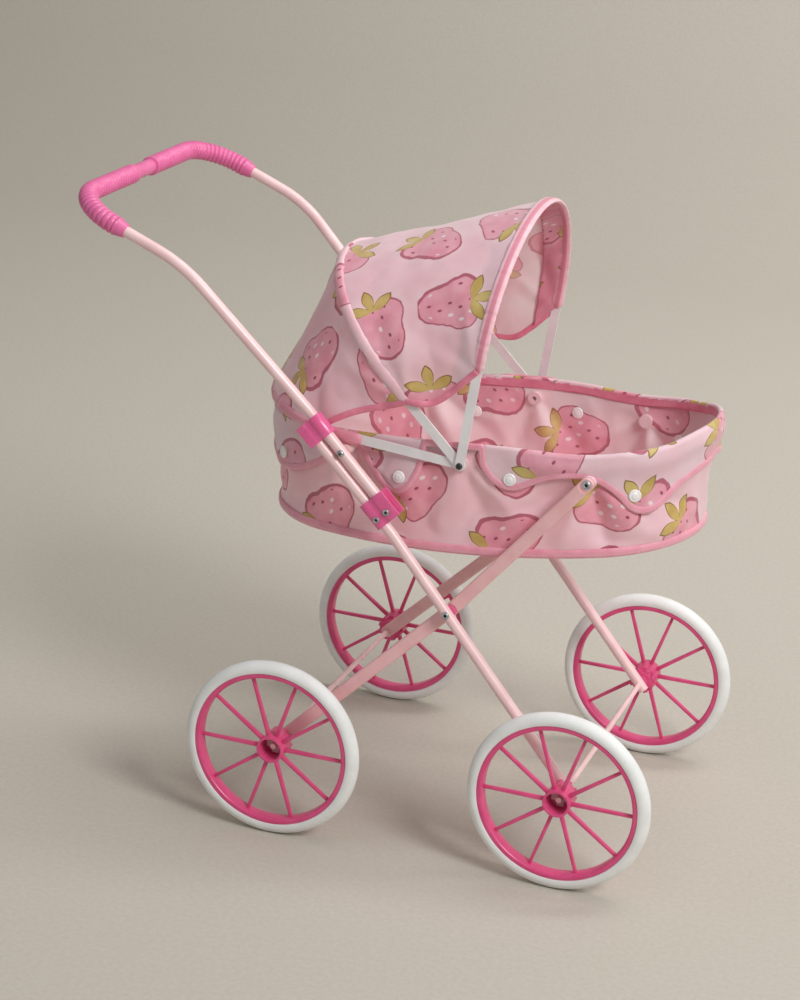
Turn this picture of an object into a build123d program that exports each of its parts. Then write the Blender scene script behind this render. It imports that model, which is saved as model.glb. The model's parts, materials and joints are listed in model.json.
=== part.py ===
from build123d import *
import os
from math import cos, radians, sin, sqrt, tan

# Doll pram: a folding tube chassis on four spoked wheels, a fabric basket and a three-bow hood.
# X points forward, Y to the pram's left, Z up from the floor. All sizes are millimetres.
# The drawing below starts at the rear axle; the finished pieces are centred on the overall length.

# Wheels and axles
WHEEL_RADIUS = 80.0
TYRE_HEIGHT = 10.0
RIM_WALL = 4.5
RIM_WIDTH = 13.0
TYRE_WIDTH = 15.0
SPOKE_COUNT = 10
SPOKE_WIDTH = 3.2
SPOKE_DEPTH = 4.0
HUB_RADIUS = 12.0
HUB_WALL = 2.2
HUB_OUTER = 7.0
HUB_INNER = 20.0
HUB_WEB = 5.0
HUB_NECK_RADIUS = 9.5
HUB_NECK = 6.0
AXLE_RADIUS = 2.5
AXLE_STUB = 6.0
WHEELBASE = 255.0
FRONT_WASHER = 0.95
REAR_SPACER = 2.0
RETAINER_RADIUS = 8.0
RETAINER_THICKNESS = 1.2
WASHER_RADIUS = 6.0

# Front legs, handle and their clamps
TUBE_RADIUS = 4.75
TUBE_WALL = 1.0
TUBE_GAP = 2.0
FRAME_ROOM = 0.75
LEG_ANGLE = 49.9
LEG_LENGTH = 262.0
LEG_TOE = 7.0
LEG_BEND_RADIUS = 120.0
STUB_ANGLE = 45.2
STUB_LENGTH = 114.5
CROSS_DISTANCE = 180.0
CLAMP_PIVOT = 17.5
CLAMP_LENGTH = 25.0
CLAMP_BELOW_PIVOT = 8.0
CLIP_LENGTH = 20.0
CLIP_DISTANCE = 108.0
CLAMP_WALL = 2.4
CLAMP_NECK = 1.55
CLAMP_BITE = 0.5
CLAMP_CHEEK = 4.0
CLIP_CHEEK = 1.0
HANDLE_TOE = 4.0
HANDLE_REACH = 266.0
HANDLE_BEND_RADIUS = 120.0
HANDLE_TOP_ANGLE = 22.3
HANDLE_TOP_LENGTH = 111.541
HANDLE_CORNER_RADIUS = 42.0
SPLAY_START = 107.0
SPLAY_RADIUS = 60.0
HANDLE_SPLAY = 13.7
GRIP_RADIUS = 8.5
GRIP_CUFF = 55.0
PLUG_HEAD = 1.5
PLUG_DEPTH = 8.0

# Rear legs
REAR_LEG_WIDTH = 11.5
REAR_LEG_THICKNESS = 6.0
REAR_LEG_EDGE = 2.2
REAR_LEG_SPLAY = 10.7
LEG_SEAT_DEPTH = 2.0
LEG_TOP_ROOM = 8.7
CROSS_WASHER = 2.45

# Basket
PIVOT_SPAN = 207.7
PIVOT_RISE = 0.8
RIM_HALF_LENGTH = 197.0
RIM_HALF_WIDTH = 106.0
RIM_SHIFT = -9.7
RIM_ABOVE_PIVOT = 18.1
RIM_RISE = 4.3
BASE_TAPER_LENGTH = 6.7
BASE_TAPER_WIDTH = 5.3
BASE_SHIFT = -8.4
BASE_BELOW_PIVOT = 75.9
BASE_RISE = 4.4
END_ROUNDNESS = 0.88
FABRIC = 1.5
BOARD_THICKNESS = 3.0
BAND_THICKNESS = 2.0
BAND_BELOW_RIM = 4.0
BAND_HEIGHT = 28.0
COLLAR_THICKNESS = 1.0
COLLAR_DEPTH = 22.0
COLLAR_NOTCH = 8.0
BINDING_HEIGHT = 6.0
BINDING_THICKNESS = 2.0
BOSS_RADIUS = 6.0
BOSS_INSIDE = 6.0
SCREW_DISTANCE = 62.0
SNAP_RADIUS = 5.5
SNAP_THICKNESS = 2.0
SNAP_DROP = 32.0
SNAP_STATIONS = (-167.0, -49.0, 48.0, 150.0)
LOBE_RADIUS = 13.0

# Hood
HOOD_SHIFT = -3.2
HOOD_ABOVE_PIVOT = 2.1
BOW_WIDTH = 8.0
BOW_THICKNESS = 1.5
BOW_LEG = 92.0
BOW_ROOM = 1.2
FRONT_BOW_ANGLE = 83.0
MID_BOW_ANGLE = 135.5
BASE_BOW_ANGLE = 175.0
PANEL_THICKNESS = 1.0
PANEL_START = 80.0
PANEL_RISE = 1.8

# Fasteners and fits
RIVET_RADIUS = 2.0
RIVET_HEAD_RADIUS = 4.0
RIVET_HEAD = 1.6
RUNNING_CLEARANCE = 0.06
SOFT_CLEARANCE = 0.3

# Sizes that follow from the ones above
rim_radius = WHEEL_RADIUS - TYRE_HEIGHT
tube_spacing = 2 * TUBE_RADIUS + TUBE_GAP
clamp_valley = TUBE_RADIUS + CLAMP_NECK
base_half_length = RIM_HALF_LENGTH - BASE_TAPER_LENGTH
base_half_width = RIM_HALF_WIDTH - BASE_TAPER_WIDTH
bow_inner_y = RIM_HALF_WIDTH + SOFT_CLEARANCE + COLLAR_THICKNESS + BOW_ROOM
bow_step = BOW_THICKNESS + SOFT_CLEARANCE
bow_outer_y = bow_inner_y + 3 * bow_step
frame_half_width = bow_outer_y + RIVET_HEAD + FRAME_ROOM + TUBE_RADIUS
rear_leg_cross_y = frame_half_width - TUBE_RADIUS - CROSS_WASHER - SOFT_CLEARANCE - LEG_SEAT_DEPTH
front_half_track = frame_half_width + TUBE_RADIUS + FRONT_WASHER + SOFT_CLEARANCE + HUB_INNER


def unit(angle):
    """Direction in the side view that points rearward and up at this angle."""
    return Vector(-cos(radians(angle)), 0, sin(radians(angle)))


def forward_normal(angle):
    """Direction square to unit(angle), pointing forward and up."""
    return Vector(sin(radians(angle)), 0, cos(radians(angle)))


def at_y(point, y):
    return Vector(point.X, y, point.Z)


def pin(point, y_from, y_to, radius):
    """Round bar across the pram, between two Y values."""
    middle = (y_from + y_to) / 2
    return Pos(point.X, middle, point.Z) * Rot(90, 0, 0) * Cylinder(radius, abs(y_to - y_from))


def left(piece):
    return mirror(piece, about=Plane.XZ)


def pair(piece):
    return Compound([piece, left(piece)])


def tube(points, radii, radius, wall=None):
    """Round tube along straight runs joined by tangent arcs."""
    path = FilletPolyline(*points, radius=radii)
    start = Plane(origin=path @ 0, z_dir=path % 0)
    solid = sweep(start * Circle(radius), path=path)
    if wall is None:
        return solid
    return solid - sweep(start * Circle(radius - wall), path=path)


# Side-view points of the folding linkage, on the mid-plane
rear_axle_point = Vector(0, 0, WHEEL_RADIUS)
front_axle_point = Vector(WHEELBASE, 0, WHEEL_RADIUS)
leg_bend = front_axle_point + unit(LEG_ANGLE) * LEG_LENGTH
leg_top = leg_bend + unit(STUB_ANGLE) * STUB_LENGTH
cross_point = front_axle_point + unit(LEG_ANGLE) * CROSS_DISTANCE
clamp_point = leg_bend + unit(STUB_ANGLE) * CLAMP_PIVOT
handle_pivot = clamp_point + forward_normal(STUB_ANGLE) * tube_spacing
screw_point = handle_pivot + unit(STUB_ANGLE) * SCREW_DISTANCE
leg_rivet_point = screw_point + Vector(PIVOT_SPAN, 0, PIVOT_RISE)
span_middle = screw_point + Vector(PIVOT_SPAN / 2, 0, 0)
hood_point = span_middle + Vector(HOOD_SHIFT, 0, HOOD_ABOVE_PIVOT)
rim_point = span_middle + Vector(RIM_SHIFT, 0, RIM_ABOVE_PIVOT)
base_point = span_middle + Vector(BASE_SHIFT, 0, -BASE_BELOW_PIVOT)
handle_splay = handle_pivot + unit(STUB_ANGLE) * SPLAY_START
handle_bend = handle_pivot + unit(STUB_ANGLE) * HANDLE_REACH
handle_corner = handle_bend + unit(HANDLE_TOP_ANGLE) * HANDLE_TOP_LENGTH


def half_width(point):
    """Half width of the basket's outside at a side-view point."""
    base_z = base_point.Z + (point.X - base_point.X) * tan(radians(BASE_RISE))
    rim_z = rim_point.Z + (point.X - rim_point.X) * tan(radians(RIM_RISE))
    share = (point.Z - base_z) / (rim_z - base_z)
    centre = base_point.X + share * (rim_point.X - base_point.X)
    length = base_half_length + share * BASE_TAPER_LENGTH
    width = base_half_width + share * BASE_TAPER_WIDTH
    end = width * END_ROUNDNESS
    narrow = width - end
    drop = ((length - end) ** 2 - narrow**2) / (2 * narrow)
    side = width + drop
    offset = abs(point.X - centre)
    if offset > side * (length - end) / (side - end):
        return sqrt(end**2 - (offset - length + end) ** 2)
    return sqrt(side**2 - offset**2) - drop


rear_leg_top_y = half_width(leg_rivet_point) + LEG_TOP_ROOM + LEG_SEAT_DEPTH

nodes = {}

# Front legs: one bent tube each side, drilled for the axle, the crossing and the clamp
right_y = -frame_half_width
leg_toe = front_axle_point - unit(LEG_ANGLE) * LEG_TOE
leg_points = [at_y(p, right_y) for p in (leg_toe, leg_bend, leg_top)]
front_leg = tube(leg_points, LEG_BEND_RADIUS, TUBE_RADIUS, TUBE_WALL)
inside_y = right_y + 2 * TUBE_RADIUS
outside_y = right_y - 2 * TUBE_RADIUS
front_leg -= pin(front_axle_point, outside_y, inside_y, AXLE_RADIUS)
for point in (cross_point, clamp_point):
    front_leg -= pin(point, outside_y, inside_y, RIVET_RADIUS)
nodes["front_leg_right"] = front_leg
nodes["front_leg_left"] = left(front_leg)

# Plugs that close the top ends of the leg tubes
plug_plane = Plane(origin=at_y(leg_top, right_y), z_dir=unit(STUB_ANGLE))
plug = plug_plane * Cylinder(TUBE_RADIUS, PLUG_HEAD, align=(Align.CENTER, Align.CENTER, Align.MIN))
plug += plug_plane * Pos(0, 0, -PLUG_DEPTH) * Cylinder(
    TUBE_RADIUS - TUBE_WALL - RUNNING_CLEARANCE, PLUG_DEPTH, align=(Align.CENTER, Align.CENTER, Align.MIN)
)
nodes["leg_tube_plugs"] = pair(plug)

# Push handle: one U of tube, splayed above the clips, with the crossbar at the back
handle_toe = handle_pivot - unit(STUB_ANGLE) * HANDLE_TOE
wide_y = right_y - HANDLE_SPLAY
right_run = [at_y(handle_toe, right_y), at_y(handle_splay, right_y)]
right_run += [at_y(handle_bend, wide_y), at_y(handle_corner, wide_y)]
left_run = [at_y(point, -point.Y) for point in reversed(right_run)]
arm_radii = [SPLAY_RADIUS, HANDLE_BEND_RADIUS, HANDLE_CORNER_RADIUS]
push_handle = tube(right_run + left_run, arm_radii + arm_radii[::-1], TUBE_RADIUS, TUBE_WALL)
for side in (right_y, -right_y):
    inner = side - 2 * TUBE_RADIUS
    outer = side + 2 * TUBE_RADIUS
    push_handle -= pin(handle_pivot, inner, outer, RIVET_RADIUS + RUNNING_CLEARANCE)
    push_handle -= pin(screw_point, inner, outer, RIVET_RADIUS)
nodes["push_handle"] = push_handle

# Moulded grip over the crossbar and both corners
cuff = handle_corner - unit(HANDLE_TOP_ANGLE) * GRIP_CUFF
grip_points = [at_y(cuff, wide_y), at_y(handle_corner, wide_y)]
grip_points += [at_y(handle_corner, -wide_y), at_y(cuff, -wide_y)]
grip_radii = [HANDLE_CORNER_RADIUS, HANDLE_CORNER_RADIUS]
grip_wall = GRIP_RADIUS - TUBE_RADIUS - RUNNING_CLEARANCE
nodes["handle_grip"] = tube(grip_points, grip_radii, GRIP_RADIUS, grip_wall)


def twin_clamp(length, fixed_at, open_at, cheek):
    """Two-lobed clamp: tight on the tube at fixed_at, with a channel open beyond open_at."""
    lobe = TUBE_RADIUS + CLAMP_WALL
    outline = Circle(lobe) + Pos(tube_spacing, 0) * Circle(lobe)
    outline += Pos(tube_spacing / 2, 0) * Rectangle(tube_spacing, 2 * clamp_valley)
    bore = Pos(fixed_at, 0) * Circle(TUBE_RADIUS)
    mouth = 2 * (TUBE_RADIUS + SOFT_CLEARANCE)
    outward = 1 if open_at > fixed_at else -1
    near_edge = fixed_at + outward * (TUBE_RADIUS - CLAMP_BITE)
    far_edge = open_at + outward * 2 * lobe
    cover = TUBE_RADIUS + cheek
    outline += Pos(open_at + outward * cover / 2, 0) * Rectangle(cover, 2 * lobe)
    channel = Pos((near_edge + far_edge) / 2, 0) * Rectangle(abs(far_edge - near_edge), mouth)
    return extrude(outline - bore - channel, amount=length)


def clamp_plane(distance):
    """Plane square to the leg's upper run: x forward from the leg tube, z up the tube."""
    origin = at_y(leg_bend + unit(STUB_ANGLE) * distance, right_y)
    return Plane(origin=origin, x_dir=forward_normal(STUB_ANGLE), z_dir=unit(STUB_ANGLE))


# Lower clamps: fixed on the legs, open to the front for the handle
lower_clamp = twin_clamp(CLAMP_LENGTH, 0, tube_spacing, CLAMP_CHEEK)
lower_clamp = clamp_plane(CLAMP_PIVOT - CLAMP_BELOW_PIVOT) * lower_clamp
clamp_reach = TUBE_RADIUS + CLAMP_WALL
for point in (clamp_point, handle_pivot):
    lower_clamp -= pin(point, right_y - 2 * clamp_reach, right_y + 2 * clamp_reach, RIVET_RADIUS)
nodes["lower_clamp_right"] = lower_clamp
nodes["lower_clamp_left"] = left(lower_clamp)

# Upper clips: fixed on the handle, open to the rear so that they snap over the leg tubes
upper_clip = twin_clamp(CLIP_LENGTH, tube_spacing, 0, CLIP_CHEEK)
upper_clip = clamp_plane(CLIP_DISTANCE - CLIP_LENGTH / 2) * upper_clip
nodes["upper_clip_right"] = upper_clip
nodes["upper_clip_left"] = left(upper_clip)


def rivet(point, y_head, y_tail, tail_head=True):
    """Rivet with a low round head at y_head and, if closed, another at y_tail."""
    outward = -1 if y_head < y_tail else 1
    body = pin(point, y_head, y_tail, RIVET_RADIUS)
    body += pin(point, y_head, y_head + outward * RIVET_HEAD, RIVET_HEAD_RADIUS)
    if tail_head:
        body += pin(point, y_tail, y_tail - outward * RIVET_HEAD, RIVET_HEAD_RADIUS)
    return body


clamp_faces = (right_y - clamp_reach, right_y + clamp_reach)
nodes["clamp_rivets"] = pair(rivet(clamp_point, *clamp_faces))
nodes["handle_pivot_rivets"] = pair(rivet(handle_pivot, *clamp_faces))


# Rear legs: flat bars with rounded edges, bent at the crossing, wider apart at the foot than at the top
top_vector = leg_rivet_point - cross_point
foot_vector = rear_axle_point - cross_point
lean = (rear_leg_cross_y - rear_leg_top_y) / top_vector.length
rear_leg_foot_y = rear_leg_cross_y + lean * foot_vector.length + REAR_LEG_SPLAY
rear_half_track = rear_leg_foot_y + LEG_SEAT_DEPTH + REAR_SPACER + SOFT_CLEARANCE + HUB_INNER


def bar_run(end, end_y):
    """One straight run of the bar from the crossing to an end, with round ends and rounded edges."""
    start = at_y(cross_point, -rear_leg_cross_y)
    reach = at_y(end, -end_y) - start
    axis = reach.normalized()
    normal = (Vector(0, 1, 0) - axis * axis.Y).normalized()
    outline = Pos(reach.length / 2, 0) * SlotCenterToCenter(reach.length, REAR_LEG_WIDTH)
    run = extrude(outline, amount=REAR_LEG_THICKNESS / 2, both=True)
    faces = run.faces().sort_by(Axis.Z)
    run = fillet(faces[0].edges() + faces[-1].edges(), REAR_LEG_EDGE)
    return Plane(origin=start, x_dir=axis, z_dir=normal) * run


rear_leg = bar_run(leg_rivet_point, rear_leg_top_y) + bar_run(rear_axle_point, rear_leg_foot_y)
leg_holes = (
    (rear_axle_point, -rear_leg_foot_y, AXLE_RADIUS),
    (cross_point, -rear_leg_cross_y, RIVET_RADIUS + RUNNING_CLEARANCE),
    (leg_rivet_point, -rear_leg_top_y, RIVET_RADIUS),
)
for point, y, hole in leg_holes:
    rear_leg -= pin(point, y - REAR_LEG_THICKNESS, y + REAR_LEG_THICKNESS, hole)
    for side in (-1, 1):
        seat = y + side * LEG_SEAT_DEPTH
        rear_leg -= pin(point, seat, seat + side * REAR_LEG_THICKNESS, 0.6 * REAR_LEG_WIDTH)
nodes["rear_leg_right"] = rear_leg
nodes["rear_leg_left"] = left(rear_leg)

# Crossing: a rivet through both legs with a washer between them
cross_outer = right_y - TUBE_RADIUS
cross_inner = -rear_leg_cross_y + LEG_SEAT_DEPTH + SOFT_CLEARANCE
nodes["cross_pivot_rivets"] = pair(rivet(cross_point, cross_outer, cross_inner))
washer_from = right_y + TUBE_RADIUS
washer_to = washer_from + CROSS_WASHER
cross_washer = pin(cross_point, washer_from, washer_to, WASHER_RADIUS - SOFT_CLEARANCE)
cross_washer -= pin(cross_point, washer_from, washer_to, RIVET_RADIUS)
nodes["cross_pivot_washers"] = pair(cross_washer)


def wheel_rim():
    """Rim, spokes and hub moulded in one; the wheel's outer side faces +Y."""
    ring = Cylinder(rim_radius, RIM_WIDTH) - Cylinder(rim_radius - RIM_WALL, RIM_WIDTH)
    web_bottom = HUB_OUTER - HUB_INNER
    barrel = Pos(0, 0, web_bottom / 2) * Cylinder(HUB_RADIUS, HUB_OUTER + HUB_INNER)
    neck = Pos(0, 0, -HUB_INNER + HUB_NECK / 2)
    barrel -= neck * (Cylinder(2 * HUB_RADIUS, HUB_NECK) - Cylinder(HUB_NECK_RADIUS, HUB_NECK))
    recess = HUB_OUTER + HUB_INNER - HUB_NECK - HUB_WEB
    barrel -= Pos(0, 0, HUB_OUTER - recess / 2) * Cylinder(HUB_RADIUS - HUB_WALL, recess)
    barrel -= Pos(0, 0, web_bottom / 2) * Cylinder(AXLE_RADIUS + RUNNING_CLEARANCE, HUB_OUTER + HUB_INNER)
    inner = HUB_RADIUS - HUB_WALL / 2
    outer = rim_radius - RIM_WALL / 2
    spoke = Pos((inner + outer) / 2, 0, 0) * Box(outer - inner, SPOKE_WIDTH, SPOKE_DEPTH)
    rim = ring + barrel
    for index in range(SPOKE_COUNT):
        rim += Rot(0, 0, index * 360 / SPOKE_COUNT) * spoke
    return Rot(-90, 0, 0) * rim


def wheel_tyre():
    """Solid tyre with a round tread, seated on the outside of the rim."""
    seat = rim_radius + RUNNING_CLEARANCE
    half = TYRE_WIDTH / 2
    shoulder = (seat + WHEEL_RADIUS) / 2
    base_half = RIM_WIDTH / 2
    bulge = (seat + shoulder) / 2
    edge = half - 0.4
    section = make_face(
        [
            Line((seat, -base_half), (seat, base_half)),
            ThreePointArc((seat, base_half), (bulge, half), (shoulder, edge)),
            ThreePointArc((shoulder, edge), (WHEEL_RADIUS, 0), (shoulder, -edge)),
            ThreePointArc((shoulder, -edge), (bulge, -half), (seat, -base_half)),
        ]
    )
    return revolve(section, axis=Axis.Y)


rim_solid = wheel_rim()
tyre_solid = wheel_tyre()
axles = (("front", front_axle_point, front_half_track), ("rear", rear_axle_point, rear_half_track))
for end, axle_point, half_track in axles:
    for side, sign, turn in (("right", -1, 180), ("left", 1, 0)):
        place = Pos(axle_point.X, sign * half_track, axle_point.Z) * Rot(0, 0, turn)
        nodes[f"{end}_{side}_rim"] = place * rim_solid
        nodes[f"{end}_{side}_tyre"] = place * tyre_solid

# Axles, with a four-point star retainer pressed on each end inside the hub
hub_floor = HUB_INNER - HUB_NECK - HUB_WEB
star_arm = Rectangle(2 * RETAINER_RADIUS, 2.6 * AXLE_RADIUS)
star = star_arm + Rot(0, 0, 90) * star_arm - Circle(AXLE_RADIUS)
for end, axle_point, half_track in axles:
    seat = half_track - hub_floor + SOFT_CLEARANCE
    reach = seat + RETAINER_THICKNESS + AXLE_STUB
    nodes[f"{end}_axle"] = pin(axle_point, -reach, reach, AXLE_RADIUS)
    plane = Plane(origin=(axle_point.X, -seat, axle_point.Z), z_dir=(0, -1, 0))
    nodes[f"{end}_axle_retainers"] = pair(plane * extrude(star, amount=RETAINER_THICKNESS))


def sleeve(point, y_from, y_to, radius, bore):
    return pin(point, y_from, y_to, radius) - pin(point, y_from, y_to, bore)


front_hub_end = HUB_INNER + SOFT_CLEARANCE - front_half_track
nodes["front_axle_washers"] = pair(
    sleeve(front_axle_point, front_hub_end, right_y - TUBE_RADIUS, WASHER_RADIUS, AXLE_RADIUS)
)
rear_hub_end = HUB_INNER + SOFT_CLEARANCE - rear_half_track
nodes["rear_axle_spacers"] = pair(
    sleeve(rear_axle_point, rear_hub_end, -rear_leg_foot_y - LEG_SEAT_DEPTH, WASHER_RADIUS, AXLE_RADIUS)
)


def oval(half_length, half_breadth, outset):
    """Long oval of four tangent arcs, grown or shrunk by an outset."""
    centre = half_length - half_breadth * END_ROUNDNESS
    narrow = half_breadth * (1 - END_ROUNDNESS)
    drop = (centre**2 - narrow**2) / (2 * narrow)
    end_radius = half_breadth * END_ROUNDNESS + outset
    half_length += outset
    half_breadth += outset
    side_radius = half_breadth + drop
    x = side_radius * centre / (side_radius - end_radius)
    y = side_radius * drop / (side_radius - end_radius) - drop
    return make_face(
        [
            ThreePointArc((x, -y), (half_length, 0), (x, y)),
            ThreePointArc((x, y), (0, half_breadth), (-x, y)),
            ThreePointArc((-x, y), (-half_length, 0), (-x, -y)),
            ThreePointArc((-x, -y), (0, -half_breadth), (x, -y)),
        ]
    )


def rising_plane(point, rise, lift=0.0):
    """Plane that slopes up to the front, shifted along its own normal."""
    normal = Vector(-sin(radians(rise)), 0, cos(radians(rise)))
    x_dir = Vector(cos(radians(rise)), 0, sin(radians(rise)))
    return Plane(origin=point + normal * lift, x_dir=x_dir, z_dir=normal)


def basket_form(outset, base_lift=0.0):
    """Tapered oval body between the base and the rim, grown or shrunk sideways."""
    base = oval(base_half_length, base_half_width, outset)
    rim = oval(RIM_HALF_LENGTH, RIM_HALF_WIDTH, outset)
    lower = rising_plane(base_point, BASE_RISE, base_lift) * base
    upper = rising_plane(rim_point, RIM_RISE) * rim
    return loft([lower, upper])


def above(plane):
    """Block that fills everything near the basket on the plane's positive side."""
    span = 4 * RIM_HALF_LENGTH
    return plane * Box(span, span, span, align=(Align.CENTER, Align.CENTER, Align.MIN))


# Basket: fabric body with a floor, a stiff band round the top and a base board
pivots = (screw_point, hood_point, leg_rivet_point)
boss_hole = BOSS_RADIUS + RUNNING_CLEARANCE


def drill(piece, points, radius):
    for point in points:
        piece -= pin(point, -RIM_HALF_LENGTH, RIM_HALF_LENGTH, radius)
    return piece


basket_fabric = basket_form(0) - basket_form(-FABRIC, FABRIC)
nodes["basket_fabric"] = drill(basket_fabric, pivots, boss_hole)

band_outset = -FABRIC - SOFT_CLEARANCE
band = basket_form(band_outset, FABRIC) - basket_form(band_outset - BAND_THICKNESS, FABRIC)
band -= above(rising_plane(rim_point, RIM_RISE, -BAND_BELOW_RIM))
band &= above(rising_plane(rim_point, RIM_RISE, -BAND_BELOW_RIM - BAND_HEIGHT))
nodes["basket_rim_band"] = drill(band, pivots, boss_hole)

board_outline = oval(base_half_length, base_half_width, band_outset - BAND_THICKNESS)
board = extrude(board_outline, amount=BOARD_THICKNESS)
nodes["basket_base_board"] = rising_plane(base_point, BASE_RISE, FABRIC) * board


def snap_plane(station):
    """Plane on the basket's right outside at a snap button, facing out."""
    x = rim_point.X + station
    z = rim_point.Z + station * tan(radians(RIM_RISE)) - SNAP_DROP
    here = half_width(Vector(x, 0, z))
    ahead = half_width(Vector(x + 1, 0, z))
    higher = half_width(Vector(x, 0, z + 1))
    return Plane(origin=(x, -here, z), z_dir=(here - ahead, -1, here - higher))


# Fold-over collar round the rim: a band with a round lobe at each snap, cut away around the pivots
collar_shell = basket_form(SOFT_CLEARANCE + COLLAR_THICKNESS) - basket_form(SOFT_CLEARANCE)
collar = collar_shell & above(rising_plane(rim_point, RIM_RISE, -COLLAR_DEPTH))
for station in SNAP_STATIONS:
    lobe = snap_plane(station) * Cylinder(LOBE_RADIUS, 2 * LOBE_RADIUS)
    collar += collar_shell & lobe
    collar += collar_shell & left(lobe)
nodes["basket_collar"] = drill(collar, pivots, COLLAR_NOTCH)

# Bound edge round the foot of the basket
binding = basket_form(SOFT_CLEARANCE + BINDING_THICKNESS) - basket_form(SOFT_CLEARANCE)
binding -= above(rising_plane(base_point, BASE_RISE, BINDING_HEIGHT))
nodes["basket_binding"] = binding

# Bosses through the band and the fabric that carry the screws, hood rivets and leg rivets
boss_ends = {
    "screw": (screw_point, half_width(screw_point) + COLLAR_THICKNESS + 2 * SOFT_CLEARANCE),
    "hood": (hood_point, bow_inner_y - RUNNING_CLEARANCE),
    "leg": (leg_rivet_point, rear_leg_top_y - LEG_SEAT_DEPTH - SOFT_CLEARANCE),
}
bosses = []
for name, (point, reach) in boss_ends.items():
    inner = half_width(point) - BOSS_INSIDE
    boss = pin(point, -reach, -inner, BOSS_RADIUS)
    if name == "screw":
        boss -= pin(point, -reach, -inner, RIVET_RADIUS + RUNNING_CLEARANCE)
    if name == "hood":
        boss -= pin(point, -reach, -inner, RIVET_RADIUS)
    bosses.append(boss)
nodes["basket_pivot_bosses"] = Compound(bosses + [left(boss) for boss in bosses])

# Screws that hang the basket on the handle, with spacers and nuts
screw_reach = boss_ends["screw"][1] + SOFT_CLEARANCE
nut_face = half_width(screw_point) - BOSS_INSIDE - SOFT_CLEARANCE
screw_head = right_y - TUBE_RADIUS
nodes["basket_screws"] = pair(rivet(screw_point, screw_head, -nut_face + RIVET_HEAD, tail_head=False))
nodes["basket_screw_spacers"] = pair(
    sleeve(screw_point, right_y + TUBE_RADIUS, -screw_reach, WASHER_RADIUS - 1, RIVET_RADIUS)
)
nodes["basket_screw_nuts"] = pair(
    sleeve(screw_point, -nut_face, -nut_face + 2 * RIVET_HEAD, RIVET_HEAD_RADIUS, RIVET_RADIUS)
)
leg_rivet_outer = -rear_leg_top_y - LEG_SEAT_DEPTH
leg_rivet_inner = -rear_leg_top_y + LEG_SEAT_DEPTH
nodes["leg_top_rivets"] = pair(rivet(leg_rivet_point, leg_rivet_outer, leg_rivet_inner, tail_head=False))

# Snap buttons on the collar
snaps = []
for station in SNAP_STATIONS:
    snap = Cylinder(SNAP_RADIUS, SNAP_THICKNESS, align=(Align.CENTER, Align.CENTER, Align.MIN))
    snaps.append(snap_plane(station).offset(COLLAR_THICKNESS + 2 * SOFT_CLEARANCE) * snap)
nodes["collar_snaps"] = Compound(snaps + [left(snap) for snap in snaps])


def bow_plane(angle):
    """Plane of a hood bow: x across the pram, y away from the pivot."""
    along = Vector(cos(radians(angle)), 0, sin(radians(angle)))
    return Plane(origin=hood_point, x_dir=(0, 1, 0), z_dir=Vector(0, 1, 0).cross(along))


def arch(radius, start, rise=0.0):
    """Filled arch: straight sides from start, then a half round above the bow legs."""
    top = BOW_LEG + rise
    face = Pos(0, top) * Circle(radius)
    face -= Pos(0, top - radius) * Rectangle(2 * radius, 2 * radius)
    return face + Pos(0, (start + top) / 2) * Rectangle(2 * radius, top - start)


def bow(angle, inner_y):
    """Flat strip bent to a U, with round eyes at its two pivots."""
    toe = BOW_WIDTH / 2
    strip = arch(inner_y + BOW_THICKNESS, -toe) - arch(inner_y, -toe)
    solid = extrude(strip, amount=toe, both=True)
    corner = Box(4 * inner_y, 2 * toe, 2 * toe, align=(Align.CENTER, Align.MAX, Align.CENTER))
    solid -= corner - Rot(0, 90, 0) * Cylinder(toe, 4 * inner_y)
    solid = bow_plane(angle) * solid
    return solid - pin(hood_point, -2 * inner_y, 2 * inner_y, RIVET_RADIUS + RUNNING_CLEARANCE)


bow_angles = (("base", BASE_BOW_ANGLE), ("mid", MID_BOW_ANGLE), ("front", FRONT_BOW_ANGLE))
for index, (name, angle) in enumerate(bow_angles):
    nodes[f"hood_{name}_bow"] = bow(angle, bow_inner_y + index * bow_step)
nodes["hood_pivot_rivets"] = pair(
    rivet(hood_point, -bow_outer_y, -half_width(hood_point) + BOSS_INSIDE, tail_head=False)
)


def hood_panel(angle_from, angle_to):
    """Fabric stretched straight between two bows."""
    sections = []
    for angle in (angle_from, angle_to):
        outer = arch(bow_outer_y + PANEL_THICKNESS, PANEL_START, PANEL_RISE)
        sheet = outer - arch(bow_outer_y, PANEL_START, PANEL_RISE)
        sections.append(bow_plane(angle) * sheet)
    return loft(sections, ruled=True)


nodes["hood_front_panel"] = hood_panel(FRONT_BOW_ANGLE, MID_BOW_ANGLE)
nodes["hood_rear_panel"] = hood_panel(MID_BOW_ANGLE, BASE_BOW_ANGLE)

# Centre the pram on its overall length and write one file for each piece
rearmost = handle_corner.X - GRIP_RADIUS
foremost = WHEELBASE + WHEEL_RADIUS
centre = Location((-(rearmost + foremost) / 2, 0, 0))
os.makedirs("parts", exist_ok=True)
for name, piece in nodes.items():
    export_step(piece.moved(centre), f"parts/{name}.step")
for name, point in (
    ("rear axle", rear_axle_point),
    ("front axle", front_axle_point),
    ("crossing", cross_point),
    ("handle pivot", handle_pivot),
    ("basket screw", screw_point),
    ("leg top rivet", leg_rivet_point),
    ("hood pivot", hood_point),
):
    spot = Vector(point.X + centre.position.X, 0, point.Z)
    print(name, round(spot.X, 3), round(spot.Z, 3))
print("nodes", len(nodes))
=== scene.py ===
import json
from functools import partial
from math import asin, atan2, cos, degrees, exp, hypot, pi, radians, sin, tan

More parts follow.
